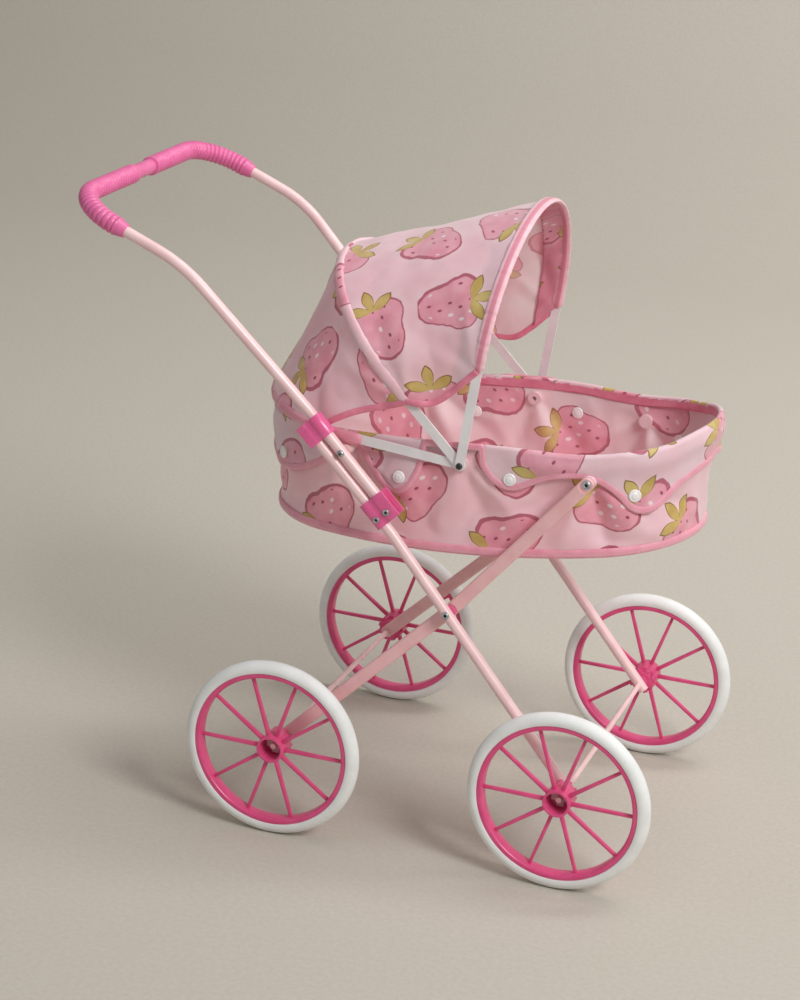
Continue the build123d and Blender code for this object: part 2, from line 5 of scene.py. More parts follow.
import bmesh
import bpy
from mathutils import Matrix, Vector, noise
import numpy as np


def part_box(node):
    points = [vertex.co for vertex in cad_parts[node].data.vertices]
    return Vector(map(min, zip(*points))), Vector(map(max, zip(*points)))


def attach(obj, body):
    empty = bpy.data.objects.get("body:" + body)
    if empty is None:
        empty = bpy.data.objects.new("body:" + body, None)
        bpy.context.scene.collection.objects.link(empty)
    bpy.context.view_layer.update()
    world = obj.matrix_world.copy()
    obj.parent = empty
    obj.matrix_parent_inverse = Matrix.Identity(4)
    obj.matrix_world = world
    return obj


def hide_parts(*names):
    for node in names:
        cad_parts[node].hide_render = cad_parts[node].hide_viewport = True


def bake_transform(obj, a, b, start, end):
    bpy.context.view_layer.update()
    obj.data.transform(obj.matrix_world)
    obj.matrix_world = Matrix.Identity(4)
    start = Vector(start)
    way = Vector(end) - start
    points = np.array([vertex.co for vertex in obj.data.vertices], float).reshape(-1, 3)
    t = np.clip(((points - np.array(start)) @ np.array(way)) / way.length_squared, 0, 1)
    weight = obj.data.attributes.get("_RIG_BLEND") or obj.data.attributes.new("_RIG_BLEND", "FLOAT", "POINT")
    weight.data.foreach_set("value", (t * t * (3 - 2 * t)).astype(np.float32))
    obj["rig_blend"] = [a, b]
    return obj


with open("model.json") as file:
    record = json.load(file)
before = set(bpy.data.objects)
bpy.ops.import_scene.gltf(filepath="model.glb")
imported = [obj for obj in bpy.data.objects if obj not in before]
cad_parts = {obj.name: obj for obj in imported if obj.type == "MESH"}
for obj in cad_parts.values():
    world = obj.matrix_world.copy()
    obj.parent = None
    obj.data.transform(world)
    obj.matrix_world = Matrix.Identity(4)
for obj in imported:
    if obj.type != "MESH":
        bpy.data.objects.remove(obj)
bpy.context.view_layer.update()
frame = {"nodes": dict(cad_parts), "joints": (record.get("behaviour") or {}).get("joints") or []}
scene = bpy.context.scene
scene.view_settings.view_transform = "Standard"

# The folds of the cloth are drawn from this seed
noise.seed_set(7)

# Doll pram in metres: +X forward, +Y to the pram's left, +Z up. MM turns a size in millimetres to metres.
MM = 0.001
UP = Vector((0, 0, 1))

# Pivots of the folding frame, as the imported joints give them
pivot = {j["name"]: Vector(j["pos_m"]) for j in frame["joints"]}
CROSSING = pivot["rear_leg_fold"]
HANDLE_PIVOT = pivot["handle_fold"]
BASKET_SCREW = pivot["basket_tilt"]
HOOD_PIVOT = pivot["hood_fold"]
LEG_RIVET = BASKET_SCREW + Vector((207.7, 0, 0.8)) * MM
SPAN_MIDDLE = BASKET_SCREW + Vector((103.85, 0, 0)) * MM

# Sizes of the handle and its grip
STUB_ANGLE = 45.2
HANDLE_REACH = 266 * MM
HANDLE_TOP_ANGLE = 22.3
HANDLE_TOP_LENGTH = 111.541 * MM
HANDLE_HALF_WIDTH = 134.7 * MM
HANDLE_CORNER_RADIUS = 42 * MM
GRIP_RADIUS = 8.4 * MM
GRIP_CUFF = 55 * MM
CUFF_LENGTH = 9 * MM
RING_PITCH = 4.7 * MM

# Basket: two tilted ovals, rim above base
RIM_MIDDLE = SPAN_MIDDLE + Vector((-9.7, 0, 18.1)) * MM
RIM_LENGTH, RIM_WIDTH, RIM_RISE = 197 * MM, 106 * MM, radians(4.3)
BASE_MIDDLE = SPAN_MIDDLE + Vector((-8.4, 0, -75.9)) * MM
BASE_LENGTH, BASE_WIDTH, BASE_RISE = 190.3 * MM, 100.7 * MM, radians(4.4)
END_ROUNDNESS = 0.88

# Hood: bows turn about the hood pivots
FRONT_BOW, MID_BOW, BASE_BOW = 83.0, 135.5, 175.0
BOW_LEG = 92 * MM


# Finishes

# Printed cloth, in millimetres: pitch of the berries along and across, their scale, and the pitch of their seeds
PRINT_PITCH, PRINT_DROP, PRINT_SCALE = 83.35 * MM, 76.0, 1.34
SEED_PITCH, SEED_DROP = 8.4, 7.2


class Sums:
    """Adds nodes to one material: sums('ADD', a, b) gives the output socket of a Math node."""

    def __init__(self, name):
        self.material = bpy.data.materials.new(name)
        self.material.use_nodes = True
        self.tree = self.material.node_tree
        self.shader = self.tree.nodes["Principled BSDF"]

    def finish(self, values):
        for name, value in values.items():
            self.put(value, self.shader.inputs[name])

    def put(self, value, socket):
        if isinstance(value, bpy.types.NodeSocket):
            self.tree.links.new(value, socket)
        else:
            socket.default_value = value

    def __call__(self, operation, *values):
        node = self.tree.nodes.new("ShaderNodeMath")
        node.operation = operation
        for value, socket in zip(values, node.inputs):
            self.put(value, socket)
        return node.outputs[0]

    def add(self, kind, **values):
        node = self.tree.nodes.new(kind)
        for name, value in values.items():
            if name in node.inputs:
                self.put(value, node.inputs[name])
            else:
                setattr(node, name, value)
        return node

    def step(self, value, low, high):
        """0 below low, 1 above high, smooth between."""
        limits = {"Value": value, "From Min": low, "From Max": high}
        node = self.add("ShaderNodeMapRange", interpolation_type="SMOOTHSTEP", clamp=True, **limits)
        return node.outputs["Result"]

    def mix(self, share, low, high):
        node = self.add("ShaderNodeMix", data_type="RGBA")
        self.put(share, node.inputs["Factor"])
        self.put(low, node.inputs[6])
        self.put(high, node.inputs[7])
        return node.outputs[2]

    def grain(self, scale, detail=2.0, vector=None):
        node = self.add("ShaderNodeTexNoise", Scale=scale, Detail=detail, Roughness=0.5)
        if vector is None:
            vector = self.add("ShaderNodeTexCoord").outputs["Object"]
        self.put(vector, node.inputs["Vector"])
        return node.outputs["Fac"]

    def bump(self, height, strength, distance):
        node = self.add("ShaderNodeBump", Strength=strength, Distance=distance, Height=height)
        self.put(node.outputs["Normal"], self.shader.inputs["Normal"])


def colour(red, green, blue):
    """Scene colour of a colour as it looks on a screen, 0 to 255."""
    def channel(c):
        c /= 255
        return c / 12.92 if c <= 0.04045 else ((c + 0.055) / 1.055) ** 2.4
    return channel(red), channel(green), channel(blue), 1.0


def coated(name, light, dark, roughness, metal=0.0, coat=0.0, patch=60, fleck=1400, relief=0.00003):
    """Moulded plastic, paint or plated metal: cloudy colour, a fine skin and uneven gloss."""
    sums = Sums(name)
    cloud = sums.step(sums.grain(patch, 3), 0.3, 0.7)
    base = sums.mix(cloud, colour(*dark), colour(*light))
    skin = sums.grain(fleck, 3)
    rough = sums("ADD", sums("MULTIPLY", skin, 0.14), sums("MULTIPLY", cloud, 0.06))
    rough = sums("ADD", rough, roughness - 0.1)
    sums.finish({
        "Base Color": base, "Roughness": rough, "Metallic": metal, "Coat Weight": coat, "Coat Roughness": 0.25,
    })
    sums.bump(skin, 0.25, relief)
    return sums.material


def weave(sums, vector):
    """Height of a plain weave of about 2.2 threads a millimetre, on cloth coordinates in metres."""
    split = sums.add("ShaderNodeSeparateXYZ", Vector=vector)
    thread = 2 * pi / (0.9 * MM)
    warp = sums("SINE", sums("MULTIPLY", split.outputs["X"], thread))
    weft = sums("SINE", sums("MULTIPLY", split.outputs["Y"], thread))
    return sums("MULTIPLY", warp, weft), split.outputs["X"], split.outputs["Y"]


def cloth_shader(sums, base, height, sheen):
    """Thin woven cloth that lets some light through."""
    sums.finish({
        "Base Color": base, "Roughness": 0.46, "Sheen Weight": sheen, "Sheen Roughness": 0.4,
        "Specular IOR Level": 0.5, "Subsurface Weight": 0.7, "Subsurface Radius": (1.0, 0.75, 0.75),
        "Subsurface Scale": 1.6 * MM,
    })
    sums.bump(height, 0.35, 0.00012)


def plain_cloth(name, light, dark, stitches=(), middle=None):
    """Woven tape or lining; stitches are rows at these heights across it, middle is a colour along its middle, partly
    a seam line and partly painted shade between the rolled tape's lighter edges.
    """
    sums = Sums(name)
    vector = sums.add("ShaderNodeUVMap", uv_map="cloth").outputs["UV"]
    height, along, across = weave(sums, vector)
    cloud = sums.step(sums.grain(90, 3, vector), 0.3, 0.7)
    base = sums.mix(cloud, colour(*dark), colour(*light))
    if middle:
        # Darker stripe along the middle: partly a seam line, partly painted shade of the rolled tape
        edge = sums.step(sums("ABSOLUTE", across), 1.2 * MM, 3.0 * MM)
        base = sums.mix(edge, colour(*middle), base)
    for row in stitches:
        near = sums("LESS_THAN", sums("ABSOLUTE", sums("SUBTRACT", across, row)), 0.35 * MM)
        dash = sums("LESS_THAN", sums("FRACT", sums("DIVIDE", along, 3.2 * MM)), 0.68)
        thread = sums("MULTIPLY", near, dash)
        base = sums.mix(thread, base, colour(240, 196, 204))
        height = sums("ADD", height, sums("MULTIPLY", thread, 4.0))
    cloth_shader(sums, base, height, 0.25)
    return sums.material


def berry_cloth(name, ground_light, ground_dark, ink=1.0):
    """Pale cloth with scattered strawberries, each turned its own way; ink below 1 is a faint print."""
    ground_light, ground_dark = colour(*ground_light), colour(*ground_dark)

    def dye(red, green, blue):
        return tuple(g + (d - g) * ink for g, d in zip(ground_light, colour(red, green, blue)))

    sums = Sums(name)
    add, less, times, over = (partial(sums, kind) for kind in ("ADD", "SUBTRACT", "MULTIPLY", "DIVIDE"))
    times_plus = partial(sums, "MULTIPLY_ADD")
    vector = sums.add("ShaderNodeUVMap", uv_map="cloth").outputs["UV"]
    height, along, across = weave(sums, vector)
    pitch = PRINT_PITCH / MM
    x = over(along, MM)
    y = over(across, MM)
    column = sums("FLOOR", over(x, pitch))
    odd = times(sums("FLOORED_MODULO", column, 2.0), PRINT_DROP / 2)
    dropped = add(y, odd)
    row = sums("FLOOR", over(dropped, PRINT_DROP))
    cell = sums.add("ShaderNodeCombineXYZ", X=column, Y=row)
    chance = sums.add("ShaderNodeTexWhiteNoise", noise_dimensions="2D", Vector=cell.outputs[0])
    draws = sums.add("ShaderNodeSeparateColor", Color=chance.outputs["Color"])
    shift_x = times(less(draws.outputs[0], 0.5), 5.0)
    shift_y = times(less(draws.outputs[1], 0.5), 3.0)
    local_x = less(x, times(add(column, 0.5), pitch))
    local_y = less(dropped, times(add(row, 0.5), PRINT_DROP))
    local_x = less(local_x, shift_x)
    local_y = less(local_y, shift_y)
    turn = times(chance.outputs["Value"], 2 * pi)
    c, s = sums("COSINE", turn), sums("SINE", turn)
    u = less(times(local_x, c), times(local_y, s))
    v = add(times(local_x, s), times(local_y, c))
    u = over(u, PRINT_SCALE)
    v = add(over(v, PRINT_SCALE), 2.4)
    wobble = times(less(sums.grain(120, 1, vector), 0.5), 2.4)

    def polar(px, py):
        """Distance from a centre, and the angle from the stalk's direction."""
        r = sums("SQRT", add(times(px, px), times(py, py)))
        return r, sums("ABSOLUTE", sums("ARCTAN2", px, py))

    # Berry outline: a rounded heart given by its radius at each angle
    r, angle = polar(u, v)
    edge = times_plus(sums("COSINE", angle), -2.75, 19.75)
    edge = times_plus(sums("COSINE", times(angle, 2.0)), 1.25, edge)
    edge = times_plus(sums("COSINE", times(angle, 3.0)), -3.25, edge)
    depth = less(add(edge, wobble), r)
    body = sums.step(depth, -0.25, 0.25)
    side = sums.step(u, -14.0, 16.0)
    pen = times_plus(side, 1.7, 1.1)
    line = times(body, less(1.0, sums.step(less(depth, pen), -0.25, 0.25)))

    # Seeds in a staggered grid, some left out, some as white glints
    seed_row = sums("FLOOR", over(v, SEED_DROP))
    seed_x = times_plus(sums("FLOORED_MODULO", seed_row, 2.0), SEED_PITCH / 2, u)
    seed_column = sums("FLOOR", over(seed_x, SEED_PITCH))
    seed_cell = sums.add("ShaderNodeCombineXYZ", X=seed_column, Y=seed_row, Z=turn)
    seed_chance = sums.add("ShaderNodeTexWhiteNoise", noise_dimensions="3D", Vector=seed_cell.outputs[0])
    seed_u = less(seed_x, times(add(seed_column, 0.5), SEED_PITCH))
    seed_v = less(v, times(add(seed_row, 0.5), SEED_DROP))
    seed_r, _ = polar(seed_u, times(seed_v, 0.62))
    dot = less(1.0, sums.step(seed_r, 0.75, 1.1))
    well_in = sums.step(depth, 4.0, 5.0)
    dark_seed = times(times(dot, well_in), sums.step(seed_chance.outputs["Value"], 0.5, 0.52))
    glint = less(1.0, sums.step(seed_r, 0.9, 1.5))
    glint = times(times(glint, well_in), sums("LESS_THAN", seed_chance.outputs["Value"], 0.2))

    # Three pointed leaves at the stalk
    leaf_r, leaf_angle = polar(u, less(v, 11.0))
    wedge = sums("PINGPONG", leaf_angle, pi / 5.4)
    point = less(1.0, over(wedge, pi / 5.4))
    leaf_edge = times(sums("POWER", point, 0.5), 17.5)
    leaf_depth = less(add(leaf_edge, wobble), leaf_r)
    upper = sums("LESS_THAN", leaf_angle, 1.74)
    leaf = times(sums.step(leaf_depth, -0.25, 0.25), upper)
    leaf_line = times(leaf, less(1.0, sums.step(leaf_depth, 0.9, 1.5)))

    cloud = sums.step(sums.grain(26, 3, vector), 0.3, 0.7)
    wash = sums.step(sums.grain(60, 3, vector), 0.3, 0.7)
    base = sums.mix(cloud, ground_dark, ground_light)
    halo = times(sums.step(depth, -6.0, -1.0), 0.28)
    base = sums.mix(halo, base, dye(248, 218, 222))
    base = sums.mix(body, base, sums.mix(wash, dye(231, 157, 173), dye(240, 177, 189)))
    base = sums.mix(times(glint, 0.8), base, dye(252, 236, 236))
    base = sums.mix(dark_seed, base, dye(172, 80, 104))
    base = sums.mix(line, base, dye(190, 104, 124))
    base = sums.mix(leaf, base, sums.mix(wash, dye(196, 166, 92), dye(214, 190, 122)))
    base = sums.mix(leaf_line, base, dye(146, 114, 66))
    cloth_shader(sums, base, height, 0.3)
    return sums.material


PAINT = coated("pink tube paint", (249, 214, 214), (244, 203, 204), 0.34, coat=0.35)
BAR_PAINT = coated("pink bar paint", (243, 192, 193), (236, 180, 182), 0.36, coat=0.3)
HOT_PLASTIC = coated("hot pink plastic", (240, 110, 164), (233, 96, 152), 0.28, coat=0.3)
GRIP_PLASTIC = coated("hot pink soft grip", (234, 118, 170), (226, 105, 159), 0.34, relief=0.00004)
RIM_PLASTIC = coated("deep pink rim plastic", (230, 86, 140), (220, 74, 128), 0.34, coat=0.15)
TYRE_FOAM = coated("white tyre foam", (241, 242, 240), (233, 234, 231), 0.62, fleck=900, relief=0.00008)
BOW_PLASTIC = coated("white bow plastic", (242, 238, 238), (232, 226, 228), 0.35)
SNAP_PLASTIC = coated("white snap plastic", (248, 244, 243), (240, 234, 234), 0.25, coat=0.3)
BOSS_PLASTIC = coated("pale boss plastic", (244, 212, 217), (238, 202, 208), 0.4)
RETAINER_PLASTIC = coated("milky retainer plastic", (226, 206, 208), (212, 188, 192), 0.4)
ZINC = coated("zinc rivet", (206, 208, 210), (176, 178, 182), 0.36, metal=0.9, patch=300)
# Painted shade: a near-black finish that fills the depths of rivet holes and screw slots
HOLE_AND_SLOT_SHADE = coated("painted shade in rivet holes and screw slots", (44, 42, 44), (30, 28, 30), 0.6)
DARK_METAL = coated("dark plated screw", (92, 92, 96), (64, 64, 68), 0.34, metal=0.8, patch=300)
BERRY_CLOTH = berry_cloth("strawberry print cloth", (246, 206, 212), (240, 195, 203))
# Painted light: the inside of the hood is a paler ground with fainter print, standing in for light shining through
# the thin cloth
HOOD_INSIDE_PAINTED_LIGHT = berry_cloth("strawberry cloth inside the hood, painted lighter", (251, 228, 229), (246, 219, 221), ink=0.6)
# Painted light: the inside of the basket is a paler ground, brightening its shaded inside as light through the cloth
# would
BASKET_INSIDE_PAINTED_LIGHT = berry_cloth("strawberry cloth inside the basket, painted lighter", (250, 222, 224), (245, 212, 215), ink=0.9)
# Partly a pinker cloth, partly painted shade: the deep ground stands for the shaded double layer of the front lining
# and the base sleeve
DEEP_AND_SHADED_BERRY_CLOTH = berry_cloth("deeper strawberry print hem cloth with painted shade", (234, 158, 174), (226, 144, 162))
# The darker middle stripe of this tape is partly a seam line and partly painted shade of its rolled edge
EDGE_CLOTH = plain_cloth("hood edge cloth", (250, 206, 214), (244, 192, 203), middle=(224, 146, 164))
BINDING_CLOTH = plain_cloth("pink binding tape", (241, 172, 188), (234, 158, 176), stitches=(1.2 * MM,))
# Partly a deeper pink of the doubled cloth, partly painted shade along the rolled hems and the collar's inner hem
DEEP_AND_SHADED_HEM_CLOTH = plain_cloth("deep pink hem cloth with painted shade", (240, 150, 172), (231, 132, 157))


# Building helpers

def unit(angle):
    """Direction in the side view that points rearward and up at this angle."""
    return Vector((-cos(radians(angle)), 0, sin(radians(angle))))


def show(name, bm, material, slot, sharp=35.0):
    """Turn a bmesh into a smooth-shaded object that is not yet on a body."""
    bmesh.ops.remove_doubles(bm, verts=bm.verts, dist=1e-6)
    bmesh.ops.recalc_face_normals(bm, faces=bm.faces)
    mesh = bpy.data.meshes.new(name)
    bm.to_mesh(mesh)
    bm.free()
    for face in mesh.polygons:
        face.use_smooth = True
    if sharp:
        mesh.set_sharp_from_angle(angle=radians(sharp))
    for finish in material if isinstance(material, (list, tuple)) else [material]:
        mesh.materials.append(finish)
    thing = bpy.data.objects.new(name, mesh)
    scene.collection.objects.link(thing)
    return thing


def carry(name, bm, material, slot, body, nodes=(), sharp=35.0):
    """A finished piece that rides on a body and stands for CAD nodes."""
    thing = show(name, bm, material, slot, sharp)
    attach(thing, body)
    if nodes:
        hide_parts(*nodes)
    return thing


def join(bm, extra):
    """Add one bmesh to another and free it."""
    part = bpy.data.meshes.new("part")
    extra.to_mesh(part)
    extra.free()
    bm.from_mesh(part)
    bpy.data.meshes.remove(part)


def facing(spot, sign):
    """Place of a piece that was made to face +Y, turned about where it has to face -Y."""
    return Matrix.Translation(spot) @ (Matrix.Identity(4) if sign > 0 else Matrix.Rotation(pi, 4, "Z"))


def points_of(geometry):
    return [g for g in geometry if isinstance(g, bmesh.types.BMVert)]


def lathe(bm, profile, rounding=0.0, closed=False, steps=96, material=0):
    """Turn a profile of (radius, height) points, in millimetres, round the Y axis."""
    before = set(bm.faces)
    spots = [bm.verts.new((r * MM, y * MM, 0)) for r, y in profile]
    lines = [bm.edges.new(ends) for ends in zip(spots, spots[1:])]
    if closed:
        lines.append(bm.edges.new((spots[-1], spots[0])))
    if rounding:
        inner = spots if closed else spots[1:-1]
        bmesh.ops.bevel(bm, geom=inner, offset=rounding * MM, affect="VERTICES", segments=3, profile=0.5,
                        material=-1)
    wire = [e for e in bm.edges if e.is_wire]
    ends = list({v for e in wire for v in e.verts})
    bmesh.ops.spin(bm, geom=ends + wire, cent=(0, 0, 0), axis=(0, 1, 0), angle=2 * pi, steps=steps,
                   use_merge=True)
    for face in set(bm.faces) - before:
        face.material_index = material


def bent_line(corners, bends, step):
    """Points along straight runs joined by arcs, about a step apart."""
    spots = [corners[0]]

    def run(end):
        start = spots[-1]
        count = max(1, round((end - start).length / step))
        spots.extend(start.lerp(end, i / count) for i in range(1, count + 1))

    for before, corner, after, bend in zip(corners, corners[1:], corners[2:], bends):
        inward = (before - corner).normalized()
        onward = (after - corner).normalized()
        half = inward.angle(onward) / 2
        cut = bend / tan(half)
        run(corner + inward * cut)
        middle = corner + (inward + onward).normalized() * (bend / sin(half))
        arm = spots[-1] - middle
        axle = arm.cross(corner + onward * cut - middle).normalized()
        sweep = pi - 2 * half
        count = max(3, round(bend * sweep / step))
        spots.extend(middle + Matrix.Rotation(sweep * i / count, 3, axle) @ arm for i in range(1, count + 1))
    run(corners[-1])
    return spots


def rings_along(spots, radius_at):
    """Ring matrices along a line: z along it, x and y scaled to the ring's half sizes."""
    rings = []
    forward = (spots[1] - spots[0]).normalized()
    turn = forward.to_track_quat("Z", "Y")
    travelled = 0.0
    for i, spot in enumerate(spots):
        ahead = spots[min(i + 1, len(spots) - 1)]
        behind = spots[max(i - 1, 0)]
        tangent = (ahead - behind).normalized()
        turn = forward.rotation_difference(tangent) @ turn
        forward = tangent
        if i:
            travelled += (spot - spots[i - 1]).length
        size = radius_at(travelled)
        rings.append(Matrix.LocRotScale(spot, turn, Vector((size, size, size))))
    return rings


def hose(bm, rings, segments, close=False):
    """Skin rings of unit circles by extruding one into the next."""
    start = bmesh.ops.create_circle(bm, segments=segments, radius=1, matrix=rings[0])["verts"]
    first = list({e for v in start for e in v.link_edges})
    edges, last = first, rings[0]
    for ring in rings[1:]:
        grown = bmesh.ops.extrude_edge_only(bm, edges=edges)["geom"]
        spots = set(points_of(grown))
        edges = [g for g in grown if isinstance(g, bmesh.types.BMEdge) and spots.issuperset(g.verts)]
        bmesh.ops.transform(bm, matrix=ring @ last.inverted(), verts=list(spots))
        last = ring
    if close:
        bmesh.ops.bridge_loops(bm, edges=first + edges)
    else:
        bmesh.ops.holes_fill(bm, edges=first + edges, sides=0)


def tape(bm, spots, faces, sizes, closed=False, segments=12):
    """Flat tube of cloth along a line; faces point out of it, sizes are half widths and half thicknesses."""
    flat = bm.loops.layers.uv.get("cloth") or bm.loops.layers.uv.new("cloth")
    first, count = len(bm.verts), len(spots)
    rings, lengths = [], [0.0]
    for i, spot in enumerate(spots):
        ahead = spots[(i + 1) % count] if closed else spots[min(i + 1, count - 1)]
        behind = spots[i - 1] if closed else spots[max(i - 1, 0)]
        along = (ahead - behind).normalized()
        across = along.cross(faces[i]).normalized()
        out = across.cross(along)
        wide, thick = sizes[i]
        turn = Matrix((across * wide, out * thick, along * thick)).transposed().to_4x4()
        rings.append(Matrix.Translation(spot) @ turn)
        lengths.append(lengths[-1] + (ahead - spot).length)
    hose(bm, rings, segments, close=closed)
    bm.verts.index_update()
    back = [ring.inverted() for ring in rings]
    for face in bm.faces:
        rows = [(corner.vert.index - first) // segments for corner in face.loops]
        if min(rows) < 0:
            continue
        wraps = max(rows) - min(rows) > 1
        for corner, row in zip(face.loops, rows):
            aside = (back[row] @ corner.vert.co).x * sizes[row][0]
            corner[flat].uv = (lengths[count if wraps and row == 0 else row], aside)


def binding(name, runs, half_width, half_thickness, material, closed=False):
    """Sewn tape along runs of (point, outward direction); half sizes in millimetres."""
    bm = bmesh.new()
    for run in runs:
        spots, faces = zip(*run)
        tape(bm, spots, faces, [(half_width * MM, half_thickness * MM)] * len(run), closed)
    return show(name, bm, material, "binding_fabric", 0.0)


def smooth_between(stations, at):
    """Value at a place on a smooth curve through (place, value) stations, in rising order of place."""
    if at <= stations[0][0]:
        return stations[0][1]
    for i, ((a, low), (b, high)) in enumerate(zip(stations, stations[1:])):
        if at <= b:
            before = stations[max(i - 1, 0)]
            after = stations[min(i + 2, len(stations) - 1)]
            t = (at - a) / (b - a)
            leave = (high - before[1]) / (b - before[0]) * (b - a)
            arrive = (after[1] - low) / (after[0] - a) * (b - a)
            return ((2 * t**3 - 3 * t**2 + 1) * low + (t**3 - 2 * t**2 + t) * leave
                    + (3 * t**2 - 2 * t**3) * high + (t**3 - t**2) * arrive)
    return stations[-1][1]


def cloth_sheet(name, columns, rows, place, lay, material, slot, thickness, reverse=0):
    """A grid of cloth: place gives a point for (across, down) shares, lay its flat place in metres.

    The inner side takes the material that stands reverse places further on."""
    bm = bmesh.new()
    flat = bm.loops.layers.uv.new("cloth")
    middle = Matrix.Translation((0.5, 0.5, 0))
    bmesh.ops.create_grid(bm, x_segments=columns, y_segments=rows, size=0.5, matrix=middle)
    for face in bm.faces:
        for corner in face.loops:
            corner[flat].uv = lay(corner.vert.co.x, corner.vert.co.y)
    for spot in bm.verts:
        spot.co = place(spot.co.x, spot.co.y)
    thing = show(name, bm, material, slot, 0.0)
    wall = thing.modifiers.new("thickness", "SOLIDIFY")
    wall.thickness = thickness
    wall.offset = 0.0
    wall.material_offset = reverse
    return thing


def finish_node(name, material, round_edges=0.0):
    """Give a CAD node its finish and smooth round faces."""
    node = frame["nodes"][name]
    node.data.materials.clear()
    node.data.materials.append(material)
    for face in node.data.polygons:
        face.use_smooth = True
    weld = node.modifiers.new("weld", "WELD")
    weld.merge_threshold = 2e-6
    if round_edges:
        bevel = node.modifiers.new("round", "BEVEL")
        bevel.width = round_edges
        bevel.segments = 2
        bevel.limit_method = "ANGLE"
        bevel.angle_limit = radians(40)
        bevel.use_clamp_overlap = True
    split = node.modifiers.new("edges", "EDGE_SPLIT")
    split.split_angle = radians(32)


# Frame pieces that keep their CAD shape

for side in ("right", "left"):
    finish_node(f"front_leg_{side}", PAINT)
    finish_node(f"rear_leg_{side}", BAR_PAINT)
    finish_node(f"lower_clamp_{side}", HOT_PLASTIC, round_edges=0.8 * MM)
    finish_node(f"upper_clip_{side}", HOT_PLASTIC, round_edges=0.8 * MM)
for finish, names in (
    (PAINT, ("push_handle", "front_axle", "rear_axle", "basket_screw_spacers")),
    (HOT_PLASTIC, ("leg_tube_plugs", "cross_pivot_washers", "front_axle_washers", "rear_axle_spacers")),
    (RETAINER_PLASTIC, ("front_axle_retainers", "rear_axle_retainers")),
    (ZINC, ("basket_screw_nuts",)),
    (BOW_PLASTIC, ("hood_base_bow", "hood_mid_bow", "hood_front_bow")),
    (BOSS_PLASTIC, ("basket_pivot_bosses",)),
):
    for name in names:
        finish_node(name, finish)


# Wheels

SPOKES, HUB_TEETH = 10, 8


def bars_round(size, centre, rounding, count, turned=0.0, taper=(1, 1)):
    """Rounded bars spread evenly round the Y axis, in millimetres; taper scales the outer end's depth and width."""
    bm = bmesh.new()
    made = bmesh.ops.create_cube(bm, size=1)["verts"]
    bmesh.ops.scale(bm, vec=Vector(size) * MM, verts=made)
    bmesh.ops.translate(bm, vec=Vector(centre) * MM, verts=made)
    for corner in made:
        if corner.co.x > centre[0] * MM:
            corner.co.y *= taper[0]
            corner.co.z *= taper[1]
    bmesh.ops.bevel(bm, geom=bm.edges[:], offset=rounding * MM, affect="EDGES", segments=2, profile=0.5, material=-1)
    bmesh.ops.rotate(bm, cent=(0, 0, 0), matrix=Matrix.Rotation(turned, 3, "Y"), verts=bm.verts)
    bmesh.ops.spin(bm, geom=bm.verts[:] + bm.edges[:] + bm.faces[:], cent=(0, 0, 0), axis=(0, 1, 0),
                   angle=2 * pi * (count - 1) / count, steps=count - 1, use_duplicate=True)
    return bm


def wheel_rim():
    """Rim, ten spokes and an open hub; the outer side faces +Y."""
    bm = bmesh.new()
    band = [(70, -6.5), (70, 6.5), (66.6, 6.5), (65.6, 5.2), (65.2, 0), (65.6, -5.2), (66.6, -6.5)]
    lathe(bm, band, rounding=0.45, closed=True, steps=128)
    barrel = [(9.8, 7), (9.6, -8.8), (2.6, -9), (2.6, -20), (9.5, -20), (9.5, -14), (12, -14), (12, 7)]
    lathe(bm, barrel, rounding=0.5, closed=True, steps=64)
    join(bm, bars_round((55, 4.2, 3.4), (38.6, 0, 0), 0.7, SPOKES, taper=(0.86, 0.8)))
    join(bm, bars_round((3.2, 5.5, 4.2), (10.2, -16.4, 0), 0.4, HUB_TEETH, turned=pi / HUB_TEETH))
    return bm


def wheel_tyre():
    bm = bmesh.new()
    half = [(70.1, 6.3), (70.5, 7.0), (72.2, 7.5), (74.4, 7.3), (76.6, 6.3), (78.5, 4.5), (79.6, 2.3), (80, 0.5)]
    ring = half + [(r, -y) for r, y in reversed(half)]
    lathe(bm, ring, closed=True, steps=160)
    return bm


for end in ("front", "rear"):
    for side, sign in (("right", -1), ("left", 1)):
        low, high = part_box(f"{end}_{side}_tyre")
        place = facing((low + high) / 2, sign)
        for kind, make, finish, slot in (
            ("rim", wheel_rim, RIM_PLASTIC, "rim_plastic"),
            ("tyre", wheel_tyre, TYRE_FOAM, "tyre_white"),
        ):
            bm = make()
            bmesh.ops.transform(bm, matrix=place, verts=bm.verts)
            carry(f"{end}_{side}_{kind}_moulded", bm, finish, slot, f"{end}_{side}_wheel", [f"{end}_{side}_{kind}"])


# Corrugated grip over the crossbar

handle_bend = HANDLE_PIVOT + unit(STUB_ANGLE) * HANDLE_REACH
handle_corner = handle_bend + unit(HANDLE_TOP_ANGLE) * HANDLE_TOP_LENGTH
cuff = handle_corner - unit(HANDLE_TOP_ANGLE) * GRIP_CUFF
width = Vector((0, HANDLE_HALF_WIDTH, 0))
grip_line = bent_line(
    [cuff - width, handle_corner - width, handle_corner + width, cuff + width],
    [HANDLE_CORNER_RADIUS, HANDLE_CORNER_RADIUS], 0.6 * MM,
)
grip_length = sum((b - a).length for a, b in zip(grip_line, grip_line[1:]))


